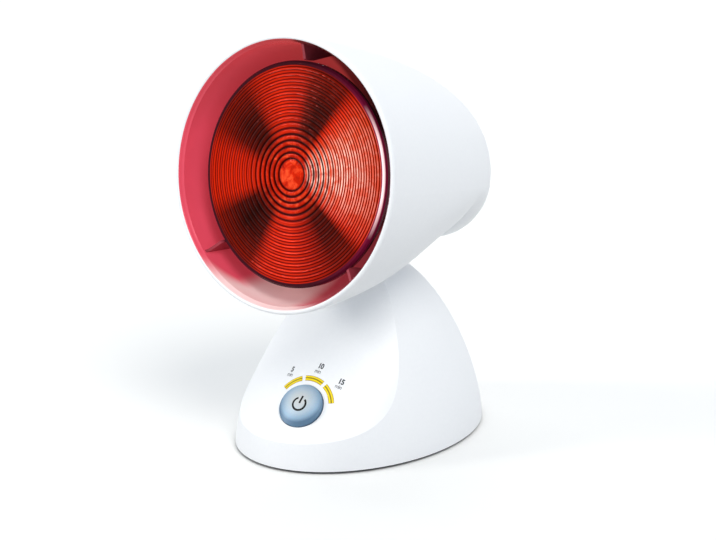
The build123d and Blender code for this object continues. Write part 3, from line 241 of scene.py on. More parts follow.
# Solvent ink: dark grey, dull, faintly mottled.
print_ink, tree, skin = start_material("pad_print_ink_grey", {"IOR": 1.5, "Roughness": 0.6})
speckle(tree, skin, 0.4, ("24282E", "3A3E44"), (0.5, 0.7))

for index, (words, right, up, size) in enumerate(PRINT):
    text = bpy.data.curves.new("print_text", "FONT")
    text.body = words
    text.size = size * FONT_SCALE
    text.align_x, text.align_y = "CENTER", "CENTER"
    text.extrude = INK_THICKNESS / 2
    text.offset = INK_SPREAD if size == FIGURE_SIZE else 0.0
    text.space_character = TRACKING
    text.resolution_u = 4
    holder = bpy.data.objects.new("print_text", text)
    bpy.context.collection.objects.link(holder)
    holder_now = holder.evaluated_get(bpy.context.evaluated_depsgraph_get())
    outline = bpy.data.meshes.new_from_object(holder_now)
    bpy.data.objects.remove(holder)
    shape = bmesh.new()
    shape.from_mesh(outline)
    bpy.data.meshes.remove(outline)
    bmesh.ops.remove_doubles(shape, verts=shape.verts, dist=1e-6)
    for vertex in shape.verts:
        vertex.co.x = CONDENSED * vertex.co.x + right
        vertex.co.y += up
        vertex.co.z += panel_fall(vertex.co.x) + INK_THICKNESS / 2
    bmesh.ops.transform(shape, matrix=controls, verts=shape.verts)
    bmesh.ops.recalc_face_normals(shape, faces=shape.faces)
    mark = make_piece(f"panel_print_{index + 1}_{words}", shape, print_ink)
    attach(mark, "base")

# ---------------------------------------------------------------- push button
# One domed ABS button with a pearl blue-silver lacquer, and painted shade that falls away to a deeper
# blue at its edge. A power sign is printed on its crown.
BUTTON_RADIUS = 0.0125
BUTTON_CROWN = 0.0026
BUTTON_LIFT = 0.0003
SIGN_RADIUS = 0.0037
SIGN_LINE = 0.0011
SIGN_GAP = radians(64)
SIGN_BAR = 0.0046
SIGN_BAR_UP = 0.0026
SIGN_STEPS = 48
LONG_EDGE = 0.002  # edges over this are cut up, so that they follow the dome
LONG_EDGE_CUTS = 8
PAINTED_LIGHT_CENTRE = (-0.0008, 0.0022, 0)  # where the painted light is palest, with painted shade deepening away from it
FLAKE_MM = 0.25

# Pearl lacquer with painted light and shade: silvery a little above the middle, and painted shade, bluer
# towards the edge as the dome turns away.
pearl_and_painted_shade, tree, skin = start_material(
    "pearl_lacquer_blue_silver_painted_shade",
    {"IOR": 1.5, "Metallic": 0.3, "Roughness": 0.48, "Coat Weight": 0.15, "Coat Roughness": 0.3},
)
radius = turned_place(tree, controls @ Matrix.Translation(PAINTED_LIGHT_CENTRE))[0]
share = add_node(
    tree, "MapRange", {"From Min": 0.0, "From Max": BUTTON_RADIUS}, {"Value": radius}
).outputs[0]
# Painted shade across the dome: silvery where it is lightest, deep blue at the edge.
PEARL_AND_PAINTED_SHADE_STOPS = (
    (0.0, "CDCFCF"), (0.35, "C0C9CE"), (0.62, "A9BDCD"), (0.85, "84A2BB"), (1.0, "4C6C88"),
)
lacquer_and_painted_shade = colour_ramp(tree, share, PEARL_AND_PAINTED_SHADE_STOPS)
place = add_node(tree, "TexCoord").outputs["Object"]
flakes = add_node(
    tree, "TexVoronoi", {"Scale": 1000 / FLAKE_MM}, {"Vector": place}
).outputs["Color"]
lacquer_and_painted_shade = add_node(
    tree, "Mix", {"data_type": "RGBA", "blend_type": "SOFT_LIGHT", 0: 0.12}, {6: lacquer_and_painted_shade, 7: flakes}
).outputs[2]
tree.links.new(lacquer_and_painted_shade, skin.inputs["Base Color"])
dress(pearl_and_painted_shade, "power_button")

# Black ink on the crown, thin and dull.
sign_ink, tree, skin = start_material(
    "sign_ink_black", {"IOR": 1.5, "Roughness": 0.5, "Specular IOR Level": 0.25}
)
speckle(tree, skin, 0.4, ("060708", "0C0D0F"), (0.45, 0.6))

shape = bmesh.new()
corners = [
    shape.verts.new((SIGN_RADIUS + side * SIGN_LINE / 2, 0, lift * INK_THICKNESS))
    for side, lift in ((-1, -1), (1, -1), (1, 1), (-1, 1))
]
section = shape.faces.new(corners)
start = Matrix.Rotation(pi / 2 + SIGN_GAP / 2, 4, "Z")
bmesh.ops.transform(shape, matrix=start, verts=shape.verts)
bmesh.ops.spin(
    shape, geom=[section] + list(section.edges) + corners, axis=(0, 0, 1),
    angle=2 * pi - SIGN_GAP, steps=SIGN_STEPS,
)
bar = bmesh.ops.create_cube(shape, size=1.0)["verts"]
bmesh.ops.scale(shape, vec=(SIGN_LINE, SIGN_BAR, 2 * INK_THICKNESS), verts=bar)
bmesh.ops.translate(shape, vec=(0, SIGN_BAR_UP, 0), verts=bar)
long_edges = [edge for edge in shape.edges if edge.calc_length() > LONG_EDGE]
bmesh.ops.subdivide_edges(shape, edges=long_edges, cuts=LONG_EDGE_CUTS)
crown_radius = (BUTTON_RADIUS**2 + BUTTON_CROWN**2) / (2 * BUTTON_CROWN)
for vertex in shape.verts:
    flat = vertex.co.x**2 + vertex.co.y**2
    vertex.co.z += BUTTON_LIFT + BUTTON_CROWN - crown_radius + sqrt(crown_radius**2 - flat)
bmesh.ops.transform(shape, matrix=controls, verts=shape.verts)
bmesh.ops.recalc_face_normals(shape, faces=shape.faces)
sign = make_piece("power_sign", shape, sign_ink)
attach(sign, "button")

# ---------------------------------------------------------------- control board
# Glass-epoxy board under the panel, screwed to four posts, with the switch that the button
# presses and one light-emitting diode under each window.

# Solder mask over copper: gloss green, paler where tracks run under it every 2.5 mm. The pattern's
# sizes are in millimetres.
solder_mask, tree, skin = start_material("epoxy_laminate_solder_mask", {"IOR": 1.55, "Roughness": 0.3})
place = add_node(tree, "TexCoord").outputs["Object"]
tracks = add_node(
    tree, "TexBrick",
    {
        "Scale": 1000.0, "Mortar Size": 0.35, "Mortar Smooth": 0.1,
        "Brick Width": 7.5, "Row Height": 2.5,
        "Color1": linear("1B5A31"), "Color2": linear("1F6338"), "Mortar": linear("3E8A56"),
    },
    {"Vector": place},
).outputs["Color"]
tree.links.new(tracks, skin.inputs["Base Color"])
dress(solder_mask, "control_board", "power_board")

# Glass-filled nylon: black, dull, a little dusty.
black_nylon, tree, skin = start_material("glass_filled_nylon_black", {"IOR": 1.53, "Roughness": 0.55})
speckle(tree, skin, 0.8, ("141516", "1E2022"), (0.5, 0.65), 0.01)
dress(black_nylon, "push_switch")

# Cast epoxy with a diffuser: milky warm yellow, glossy.
led_resin, tree, skin = start_material(
    "led_epoxy_diffused",
    {"IOR": 1.55, "Roughness": 0.12, "Subsurface Weight": 0.3, "Subsurface Scale": 0.001},
)
speckle(tree, skin, 1.0, ("F0DC78", "F7E89A"))
dress(led_resin, "timer_leds")

# ---------------------------------------------------------------- power board
# Relay, smoothing capacitor and mains terminal block on a second board above the bottom plate.
SLEEVE_LIP = 0.0003  # height of the can's top that the sleeve leaves bare

# Relay case: moulded blue polyester, satin.
relay_case, tree, skin = start_material("polyester_blue_moulded", {"IOR": 1.57, "Roughness": 0.35})
speckle(tree, skin, 1.2, ("17418F", "1D4C9F"), (0.3, 0.42), 0.005)
dress(relay_case, "relay")

# Capacitor: shrunk vinyl sleeve, bluish black, over a can whose bare top is bright aluminium.
can_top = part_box("capacitor")[1].z
sleeve, tree, skin = start_material("vinyl_sleeved_can", {"IOR": 1.53, "Roughness": 0.32})
place = add_node(tree, "TexCoord").outputs["Object"]
height = add_node(tree, "SeparateXYZ", links={0: place}).outputs[2]
top = add_node(
    tree, "Math", {"operation": "GREATER_THAN", 1: can_top - SLEEVE_LIP}, {0: height}
).outputs[0]
skin_colour = add_node(
    tree, "Mix", {"data_type": "RGBA", 6: linear("1F2530"), 7: linear("C9CCCF")}, {0: top}
).outputs[2]
tree.links.new(skin_colour, skin.inputs["Base Color"])
tree.links.new(top, skin.inputs["Metallic"])
dress(sleeve, "capacitor")

# Terminal block: green polyamide, dull, with flow marks from moulding.
terminal_nylon, tree, skin = start_material("polyamide_green_moulded", {"IOR": 1.53, "Roughness": 0.5})
speckle(tree, skin, 2.0, ("1C6B3C", "257846"), (0.45, 0.6), 0.01)
dress(terminal_nylon, "terminal_block")

# ---------------------------------------------------------------- fixings
# Screws, bracket, tilt pin, clip and rivets: cold-headed or pressed steel with bright zinc.

# Zinc plate: pale cool grey metal whose crystals cloud it in patches of 2 or 3 mm.
zinc_steel, tree, skin = start_material("steel_zinc_plated", {"Metallic": 1.0, "Roughness": 0.3})
speckle(tree, skin, 2.5, ("A9ACAF", "C6C9CB"), (0.24, 0.4), 0.004)
dress(
    zinc_steel, "board_screws", "power_board_screws", "bottom_screws", "post_screws", "bracket_screws",
    "tilt_bracket", "tilt_pin", "pin_clip", "holder_rivets",
)

# ---------------------------------------------------------------- bottom plate and feet
# Grey polypropylene plate that closes the dome from below; its rim is the dark line under the
# shell. Four moulded rubber pads are glued into its recesses.

# Polypropylene with a spark-eroded grain of about 0.5 mm, drawn at 0.9 mm to show: dull charcoal.
grey_pp, tree, skin = start_material("polypropylene_grey_grained", {"IOR": 1.49, "Roughness": 0.6})
speckle(tree, skin, 0.9, ("26282C", "303338"), (0.55, 0.7), 0.05)
dress(grey_pp, "bottom_plate")

# Moulded rubber: near black, matt, powdery.
foot_rubber, tree, skin = start_material("rubber_moulded_black", {"IOR": 1.52, "Roughness": 0.85})
speckle(tree, skin, 0.6, ("1B1B1C", "272728"), (0.8, 0.92), 0.03)
dress(foot_rubber, "rubber_feet")

# ---------------------------------------------------------------- cord outlet
# A rounded gland and its nut, turned tight in the back of the dome: moulded pale grey nylon.

# Nylon: slightly warmer and duller than the shell, with a fine grain.
gland_nylon, tree, skin = start_material("nylon_pale_grey_moulded", {"IOR": 1.53, "Roughness": 0.5})
speckle(tree, skin, 0.8, ("DDE0E3", "E6E8EA"), (0.45, 0.58), 0.01)
dress(gland_nylon, "cord_gland", "gland_nut")

# ---------------------------------------------------------------- pivot post
# The neck between base and head, with click notches round its bore. It is moulded of white
# polyamide for wear, screwed up under the land.

# Polyamide: a shade greyer than the shell, satin, polished where the washers rub.
white_nylon, tree, skin = start_material("polyamide_white_moulded", {"IOR": 1.53, "Roughness": 0.4})
speckle(tree, skin, 1.2, ("E6E9EC", "EEF0F2"), (0.32, 0.46), 0.006)
dress(white_nylon, "pivot_post")

# Acetal washers: natural off-white, waxy.
acetal, tree, skin = start_material("acetal_natural", {"IOR": 1.48, "Roughness": 0.35})
speckle(tree, skin, 1.0, ("DDD9CC", "E6E3D8"), (0.3, 0.42))
dress(acetal, "click_washers")

# ---------------------------------------------------------------- head housing and vent cover
# Bullet-shaped shade and the slotted cap over its rear opening, both moulded of the same white
# ABS as the base. A short plug on the cap is pushed into the opening.
dress(white_abs, "head_shell", "rear_cover")

# ---------------------------------------------------------------- shade liner
# A deep bowl of red-tinted plastic, moulded with three fins that centre the lamp, and pressed
# in from the front until its rolled edge covers the inside of the housing's lip.
HEAD_LEAN = radians(10.5)
RIM_CENTRE = (0, -0.068606, 0.160585)
LINER_WALL = 0.0009
LINER_EDGE = (
    (-0.0003, 0.07148), (-0.00056, 0.0712), (-0.00102, 0.07099), (-0.0014, 0.07085), (-0.0022, 0.0705),
    (-0.0031, 0.0699),
)
LINER_MIDDLE = (-0.0375, 0.0614)
LINER_BACK = (-0.073, 0.0324)
LINER_STEPS = 24
LINER_SIDES = 160
SHARP_FROM = radians(35)
FIN_TURNS = (0, 135, 225)
FIN_THICKNESS = 0.0016
FIN_OUTLINE = (
    (-0.0045, 0.0699), (-0.0062, 0.0692), (-0.0080, 0.0655), (-0.0094, 0.0615), (-0.0108, 0.0608),
    (-0.0165, 0.0608), (-0.0340, 0.0640), (-0.0200, 0.0680),
)
PAINTED_DAYLIGHT_TURN = 0.52  # middle of the painted daylight patch, as a share of a turn from the top
PAINTED_DAYLIGHT_DEPTH = (-0.013, -0.001)  # from the bowl's depth to its edge, along the axis,
PAINTED_DAYLIGHT_WIDTH = (0.055, 0.10)  # the painted daylight patch widens, in shares of a turn either side of its middle
CLOUDS_PER_METRE = 45
head_front = Matrix.Translation(RIM_CENTRE) @ Matrix.Rotation(radians(90) - HEAD_LEAN, 4, "X")

# Tinted translucent polycarbonate, gloss: crimson, with painted light and shade round the bowl: painted
# shade darkest at the top right, a dusty pink painted highlight at the right, and painted daylight that
# washes it pale at the bottom. It also gives off a painted red glow.
liner_tint_and_painted_light, tree, skin = start_material(
    "polycarbonate_red_tinted", {"IOR": 1.58, "Roughness": 0.2, "Specular Tint": linear("FFB0B8")}
)
turn, out = turned_place(tree, head_front)[1:]
# Colour by turn round the bowl: crimson tint, with painted shade at the top right and a dusty pink
# painted highlight at the right.
LINER_TINT_AND_PAINTED_LIGHT_STOPS = (
    (0.0, "6A2428"), (0.03, "3C1618"), (0.15, "301014"), (0.19, "8C5A62"), (0.30, "8C5A62"),
    (0.34, "5A2028"), (0.40, "8C3240"), (0.48, "C44A5C"),
    (0.62, "D04A60"), (0.78, "D84E64"), (0.92, "C44C56"), (0.99, "B0484C"), (1.0, "6A2428"),
)
crimson_and_painted_light = colour_ramp(tree, turn, LINER_TINT_AND_PAINTED_LIGHT_STOPS)
limits = {
    "From Min": PAINTED_DAYLIGHT_DEPTH[0], "From Max": PAINTED_DAYLIGHT_DEPTH[1],
    "To Min": PAINTED_DAYLIGHT_WIDTH[0], "To Max": PAINTED_DAYLIGHT_WIDTH[1],
}
width = add_node(tree, "MapRange", limits, {"Value": out}).outputs[0]
aside = add_node(tree, "Math", {"operation": "SUBTRACT", 1: PAINTED_DAYLIGHT_TURN}, {0: turn}).outputs[0]
aside = add_node(tree, "Math", {"operation": "ABSOLUTE"}, {0: aside}).outputs[0]
aside = add_node(tree, "Math", {"operation": "DIVIDE"}, {0: aside, 1: width}).outputs[0]
# Painted daylight: a pale patch painted at the bottom of the bowl, widening towards its edge.
painted_daylight = add_node(
    tree, "MapRange",
    {"interpolation_type": "SMOOTHSTEP", "From Min": 0.5, "From Max": 1.1, "To Min": 0.9, "To Max": 0.0},
    {"Value": aside},
).outputs[0]
tint_and_painted_light = add_node(
    tree, "Mix", {"data_type": "RGBA", 7: linear("F2DEDC")}, {0: painted_daylight, 6: crimson_and_painted_light}
).outputs[2]
place = add_node(tree, "TexCoord").outputs["Object"]
cloud = add_node(
    tree, "TexNoise", {"Scale": CLOUDS_PER_METRE, "Detail": 2.0}, {"Vector": place}
).outputs[0]
cloud = add_node(tree, "MapRange", {"To Min": 0.85, "To Max": 1.1}, {"Value": cloud}).outputs[0]
tint_and_painted_light = add_node(
    tree, "Mix", {"data_type": "RGBA", "blend_type": "MULTIPLY", 0: 1.0}, {6: tint_and_painted_light, 7: cloud}
).outputs[2]
tree.links.new(tint_and_painted_light, skin.inputs["Base Color"])
# Painted glow: the liner gives off red light as though the lamp lit it. It is darkest at the top right
# and paler in the painted daylight patch.
LINER_PAINTED_GLOW_STOPS = (
    (0.0, "30100E"), (0.03, "140505"), (0.15, "100404"), (0.19, "4A2A30"), (0.30, "4A2A30"),
    (0.34, "180807"), (0.42, "602026"), (0.52, "74262E"),
    (0.62, "80242C"), (0.78, "84262E"), (0.92, "84282C"), (0.99, "7E2A28"), (1.0, "30100E"),
)
liner_painted_glow = colour_ramp(tree, turn, LINER_PAINTED_GLOW_STOPS)
liner_painted_glow = add_node(
    tree, "Mix", {"data_type": "RGBA", 7: linear("765856")}, {0: painted_daylight, 6: liner_painted_glow}
).outputs[2]
tree.links.new(liner_painted_glow, skin.inputs["Emission Color"])
skin.inputs["Emission Strength"].default_value = 1.0

# The same plastic in the fins, given darker colours and no glow: painted shade on the fins.
fin_painted_shade, tree, skin = start_material(
    "polycarbonate_red_fins_painted_shade", {"IOR": 1.58, "Roughness": 0.25, "Specular Tint": linear("FF9098")}
)
speckle(tree, skin, 3.0, ("8E3440", "A43E4A"))

shape = bmesh.new()
section = list(LINER_EDGE)
for step in range(1, LINER_STEPS + 1):
    share = step / LINER_STEPS
    edge_share, middle_share = (1 - share) * (1 - 2 * share), 4 * share * (1 - share)
    back_share = share * (2 * share - 1)
    section.append(tuple(
        edge_share * edge + middle_share * middle + back_share * back
        for edge, middle, back in zip(LINER_EDGE[-1], LINER_MIDDLE, LINER_BACK)
    ))
section += [(out, up + LINER_WALL) for out, up in reversed(section[len(LINER_EDGE) - 1:])]
line = [shape.verts.new((0, up, out)) for out, up in section]
edges = [shape.edges.new(pair) for pair in zip(line, line[1:] + line[:1])]
bmesh.ops.spin(
    shape, geom=line + edges, axis=(0, 0, 1), angle=2 * pi, steps=LINER_SIDES, use_merge=True
)
bowl_faces = set(shape.faces)
for turn in FIN_TURNS:
    fin = bmesh.ops.create_circle(shape, segments=len(FIN_OUTLINE), radius=1.0, cap_ends=True)["verts"]
    for vertex, (out, up) in zip(fin, FIN_OUTLINE):
        vertex.co = (-FIN_THICKNESS / 2, up, out)
    face = fin[0].link_faces[0]
    grown = bmesh.ops.extrude_face_region(shape, geom=[face])["geom"]
    grown = [item for item in grown if isinstance(item, bmesh.types.BMVert)]
    bmesh.ops.translate(shape, vec=(FIN_THICKNESS, 0, 0), verts=grown)
    swing = Matrix.Rotation(-radians(turn), 3, "Z")
    bmesh.ops.rotate(shape, cent=(0, 0, 0), matrix=swing, verts=fin + grown)
bmesh.ops.transform(shape, matrix=head_front, verts=shape.verts)
bmesh.ops.recalc_face_normals(shape, faces=shape.faces)
for face in shape.faces:
    face.smooth = True
    face.material_index = 0 if face in bowl_faces else 1
liner_bowl = make_piece("liner_bowl", shape, liner_tint_and_painted_light, fin_painted_shade)
liner_bowl.data.set_sharp_from_angle(angle=SHARP_FROM)
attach(liner_bowl, "head")
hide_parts("shade_liner")

# ---------------------------------------------------------------- lampholder
# Screw lampholder on a bracket inside the head: a glazed steatite body with a pressed brass
# thread shell and centre contact, riveted through.

# Glazed steatite: warm white, glassy, with small iron specks.
steatite, tree, skin = start_material(
    "steatite_glazed", {"IOR": 1.52, "Roughness": 0.18, "Coat Weight": 0.8, "Coat Roughness": 0.05}
)
speckle(tree, skin, 1.5, ("E9E4D6", "F3F0E6"))
dress(steatite, "lampholder")

# Brass sheet: yellow metal, slightly tarnished in patches.
brass, tree, skin = start_material("brass_sheet_pressed", {"Metallic": 1.0, "Roughness": 0.28})
speckle(tree, skin, 3.0, ("B08A3E", "CDA858"), (0.22, 0.38))
dress(brass, "holder_thread_shell", "holder_contact")

# ---------------------------------------------------------------- lamp
# Sealed infrared reflector lamp: a pressed ruby glass front fused to a blown bowl silvered
# inside, with a screw cap cemented on its neck and a coiled filament on a glass stem.
LENS_CENTRE_RADIUS = 0.0085
LENS_RING_RADIUS = 0.057
LENS_RINGS = 15
LENS_BOSS = (0.0072, 0.0084)  # the plain boss ends between these radii
LENS_MIDDLE = (0.012, 0.028)  # the middle gives way to the four quarters between these
LENS_DOUBLE = (0.022, 0.034)  # single lines of painted groove shade give way to double ones between these
LENS_BLEND = (0.04, 0.056)  # the painted reflection's quarters blend a little between these
LENS_FLANGE = (0.0576, 0.0581)  # the rings give way to the flange between these
PAINTED_GLINT_RADIUS = 0.0593
PAINTED_GLINT_EDGES = (0.0004, 0.0009)  # the painted highlight line fades between these distances from its radius
PAINTED_HIGHLIGHT_TURN = 0.222  # middle of the painted highlight fan, as a share of a turn from the top
PAINTED_HIGHLIGHT_EDGES = (0.02, 0.13)  # the painted highlight fan fades between these shares of a turn from its middle
PAINTED_GLINT_ENDS = (0.035, 0.10)  # and the painted highlight line between these
SEEDS_PER_METRE = 220
DIMPLE_DEPTH = 0.0006
PAINTED_GLOW_SHARE = 0.22  # painted glow, standing for light that comes through the glass, as a share of its own colour

# Ruby glass pressed in round ridges: deep red, with painted shade in the grooves, one dark line to each
# ridge and two towards the edge; a painted reflection that darkens four quarters where the bowl's
# silvering turns away; and a painted highlight fan on the right. The flange is plum, with painted light
# and one painted highlight line on the right.
ruby_glass_and_painted_light, tree, skin = start_material(
    "ruby_glass_pressed_painted_light",
    {"IOR": 1.52, "Roughness": 0.12, "Specular IOR Level": 0.14, "Specular Tint": linear("FF4030")},
)
radius, turn = turned_place(tree, head_front)[:2]
# Painted reflection by turn: red, dark in four quarters where the bowl's silvering turns away, brightest
# on the right.
PAINTED_REFLECTION_QUARTER_STOPS = (
    (0.0, "B41E08"), (0.02, "6A1408"), (0.05, "3A0C06"), (0.085, "4A0F08"), (0.105, "DC2A0A"),
    (0.15, "F04818"), (0.29, "EC4014"), (0.33, "DA2808"), (0.352, "4E1009"), (0.39, "560F09"),
    (0.43, "A81A08"), (0.48, "DC2606"), (0.54, "D02408"), (0.57, "4A0E07"), (0.62, "200603"),
    (0.66, "4A0E07"), (0.69, "CC2408"), (0.72, "D42608"), (0.77, "C82208"), (0.805, "621006"),
    (0.84, "3E0C06"), (0.875, "4E0E06"), (0.91, "C02208"), (0.95, "DC2808"), (1.0, "B41E08"),
)
painted_reflection_quarters = colour_ramp(tree, turn, PAINTED_REFLECTION_QUARTER_STOPS)
limits = {"From Min": LENS_BLEND[0], "From Max": LENS_BLEND[1], "To Max": 0.35}
blend = add_node(tree, "MapRange", limits, {"Value": radius}).outputs[0]
painted_reflection_quarters = add_node(
    tree, "Mix", {"data_type": "RGBA", 7: linear("B02008")}, {0: blend, 6: painted_reflection_quarters}
).outputs[2]
smooth = {"interpolation_type": "SMOOTHSTEP"}
limits = {"From Min": LENS_MIDDLE[0], "From Max": LENS_MIDDLE[1]}
reach = add_node(tree, "MapRange", smooth | limits, {"Value": radius}).outputs[0]
place = add_node(tree, "TexCoord").outputs["Object"]
seeds = add_node(
    tree, "TexNoise", {"Scale": SEEDS_PER_METRE, "Detail": 3.0, "Distortion": 0.6}, {"Vector": place}
).outputs[0]
middle = colour_ramp(tree, seeds, ((0.3, "981404"), (0.52, "CC2408"), (0.7, "F05028")))
glass_and_painted_light = add_node(tree, "Mix", {"data_type": "RGBA"}, {0: reach, 6: middle, 7: painted_reflection_quarters}).outputs[2]

# Painted shade in the grooves: one dark line to each pressed ring near the middle and two further out.
pitch = (LENS_RING_RADIUS - LENS_CENTRE_RADIUS) / LENS_RINGS
wave = add_node(tree, "Math", {"operation": "SUBTRACT", 1: LENS_CENTRE_RADIUS}, {0: radius}).outputs[0]
wave = add_node(tree, "Math", {"operation": "DIVIDE", 1: pitch}, {0: wave}).outputs[0]
wave = add_node(tree, "Math", {"operation": "PINGPONG", 1: 0.5}, {0: wave}).outputs[0]
double = add_node(tree, "Math", {"operation": "MULTIPLY", 1: 2.0}, {0: wave}).outputs[0]
double = add_node(tree, "Math", {"operation": "PINGPONG", 1: 0.5}, {0: double}).outputs[0]
BROAD_GROOVE_SHADE_STOPS = ((0.0, "30100A"), (0.14, "5A2018"), (0.3, "E8E8E8"), (0.5, "FFFFFF"))
FINE_GROOVE_SHADE_STOPS = ((0.0, "64241A"), (0.10, "7A3226"), (0.26, "F0F0F0"), (0.5, "FFFFFF"))
broad = colour_ramp(tree, wave, BROAD_GROOVE_SHADE_STOPS)
fine = colour_ramp(tree, double, FINE_GROOVE_SHADE_STOPS)
limits = {"From Min": LENS_DOUBLE[0], "From Max": LENS_DOUBLE[1]}
outwards = add_node(tree, "MapRange", limits, {"Value": radius}).outputs[0]
groove_shade = add_node(tree, "Mix", {"data_type": "RGBA"}, {0: outwards, 6: broad, 7: fine}).outputs[2]
limits = {"From Min": LENS_BOSS[0], "From Max": LENS_BOSS[1]}
groove_shade_reach = add_node(tree, "MapRange", limits, {"Value": radius}).outputs[0]
glass_and_painted_light = add_node(
    tree, "Mix", {"data_type": "RGBA", "blend_type": "MULTIPLY"}, {0: groove_shade_reach, 6: glass_and_painted_light, 7: groove_shade}
).outputs[2]

# The painted highlight fan on the right lies on the ridges only, broken up by the ripple in the glass.
aside = add_node(tree, "Math", {"operation": "SUBTRACT", 1: PAINTED_HIGHLIGHT_TURN}, {0: turn}).outputs[0]
aside = add_node(tree, "Math", {"operation": "ABSOLUTE"}, {0: aside}).outputs[0]
limits = {"From Min": PAINTED_HIGHLIGHT_EDGES[0], "From Max": PAINTED_HIGHLIGHT_EDGES[1], "To Min": 1.0, "To Max": 0.0}
pale = add_node(tree, "MapRange", smooth | limits, {"Value": aside}).outputs[0]
ridge = add_node(
    tree, "MapRange", smooth | {"From Min": 0.2, "From Max": 0.42}, {"Value": double}
).outputs[0]
pale = add_node(tree, "Math", {"operation": "MULTIPLY"}, {0: pale, 1: ridge}).outputs[0]
limits = {"From Min": 0.0, "From Max": LENS_RING_RADIUS}
spread = add_node(tree, "MapRange", limits, {"Value": radius}).outputs[0]
HIGHLIGHT_SPREAD_STOPS = ((0.14, "000000"), (0.26, "FFFFFF"), (0.62, "FFFFFF"), (1.0, "909090"))
spread = colour_ramp(tree, spread, HIGHLIGHT_SPREAD_STOPS)
pale = add_node(tree, "Math", {"operation": "MULTIPLY"}, {0: pale, 1: spread}).outputs[0]
ripple = add_node(
    tree, "MapRange", {"From Min": 0.4, "From Max": 0.6, "To Min": 0.3}, {"Value": seeds}
).outputs[0]
pale = add_node(tree, "Math", {"operation": "MULTIPLY"}, {0: pale, 1: ripple}).outputs[0]
glass_and_painted_light = add_node(
    tree, "Mix", {"data_type": "RGBA", 7: linear("FFD2C0")}, {0: pale, 6: glass_and_painted_light}
).outputs[2]

# The flange, dark plum with painted light in magenta on the right, and the painted highlight line that
# runs along it there.
FLANGE_PAINTED_LIGHT_STOPS = (
    (0.0, "30101A"), (0.08, "5A0E28"), (0.18, "861640"), (0.26, "861640"), (0.36, "5A0E28"),
    (0.45, "30101A"), (1.0, "30101A"),
)
flange_and_painted_light = colour_ramp(tree, turn, FLANGE_PAINTED_LIGHT_STOPS)
limits = {"From Min": LENS_FLANGE[0], "From Max": LENS_FLANGE[1]}
rim = add_node(tree, "MapRange", limits, {"Value": radius}).outputs[0]
glass_and_painted_light = add_node(tree, "Mix", {"data_type": "RGBA"}, {0: rim, 6: glass_and_painted_light, 7: flange_and_painted_light}).outputs[2]
edge = add_node(tree, "Math", {"operation": "SUBTRACT", 1: PAINTED_GLINT_RADIUS}, {0: radius}).outputs[0]
edge = add_node(tree, "Math", {"operation": "ABSOLUTE"}, {0: edge}).outputs[0]
limits = {"From Min": PAINTED_GLINT_EDGES[0], "From Max": PAINTED_GLINT_EDGES[1], "To Min": 0.95, "To Max": 0.0}
edge = add_node(tree, "MapRange", limits, {"Value": edge}).outputs[0]
limits = {"From Min": PAINTED_GLINT_ENDS[0], "From Max": PAINTED_GLINT_ENDS[1], "To Min": 1.0, "To Max": 0.0}
painted_glint = add_node(tree, "MapRange", limits, {"Value": aside}).outputs[0]
painted_glint = add_node(tree, "Math", {"operation": "MULTIPLY"}, {0: edge, 1: painted_glint}).outputs[0]

# Painted glow: what the glass gives off stands for light coming back through it from the silvered bowl,
# and the painted highlight line glows too.
lens_painted_glow = add_node(
    tree, "Mix", {"data_type": "RGBA", 0: 1 - PAINTED_GLOW_SHARE, 7: (0, 0, 0, 1)}, {6: glass_and_painted_light}
).outputs[2]
lens_painted_glow = add_node(
    tree, "Mix", {"data_type": "RGBA", 7: linear("F0C4C4")}, {0: painted_glint, 6: lens_painted_glow}
).outputs[2]
tree.links.new(lens_painted_glow, skin.inputs["Emission Color"])
skin.inputs["Emission Strength"].default_value = 1.0
glass_and_painted_light = add_node(
    tree, "Mix", {"data_type": "RGBA", 7: linear("FBE4E4")}, {0: painted_glint, 6: glass_and_painted_light}
).outputs[2]
tree.links.new(glass_and_painted_light, skin.inputs["Base Color"])
dimple = add_node(
    tree, "Bump", {"Strength": 0.5, "Distance": DIMPLE_DEPTH}, {"Height": seeds}
).outputs[0]
tree.links.new(dimple, skin.inputs["Normal"])
dress(ruby_glass_and_painted_light, "bulb_lens")

# Silvered glass: a cool mirror under clear glass, with faint streaks from blowing.
silvered_glass, tree, skin = start_material(
    "glass_silvered", {"Metallic": 1.0, "Roughness": 0.16, "Coat Weight": 0.7, "Coat Roughness": 0.03}
)
speckle(tree, skin, 9.0, ("BFC2C4", "D5D7D8"), (0.1, 0.22))
dress(silvered_glass, "bulb_reflector")

# Spun aluminium: bright, finely ringed by the spinning tool.
cap_aluminium, tree, skin = start_material("aluminium_spun", {"Metallic": 1.0, "Roughness": 0.3})
speckle(tree, skin, 1.2, ("C2C4C5", "D8DADB"), (0.22, 0.36), 0.004)
dress(cap_aluminium, "bulb_cap")

# Tungsten coil and its leads: dull dark grey metal, drawn.
tungsten, tree, skin = start_material("tungsten_drawn", {"Metallic": 1.0, "Roughness": 0.42})
speckle(tree, skin, 0.6, ("5A5B5E", "77797C"), (0.35, 0.5))
dress(tungsten, "bulb_filament")

# ---------------------------------------------------------------- floor, lights and camera
# A plain white table and cool light all round, with three soft warm lamps: a low key from the
# left in front, a broad fill from high on the right, and one from above on the left behind.
TABLE_HALF = 12.0
WHITE_LIFT = 0.04  # glow of the table, which takes what is seen of it nearer to white
SKY_STRENGTH = 0.76
LIGHT_TINT = (1.0, 0.965, 0.91)
LIGHTS = (  # name, turn, rise and spread in degrees, strength
    ("key", -42, 20, 14, 0.95), ("fill", 60, 50, 30, 1.3), ("top", -130, 62, 40, 0.5),
)
CAMERA_TURN, CAMERA_RISE = radians(37.88), radians(16.5)
CAMERA_PLACE = (0.82747, -1.06609, 0.49217)
FOCAL_LENGTH_MM, SENSOR_MM = 127.8, 36.0


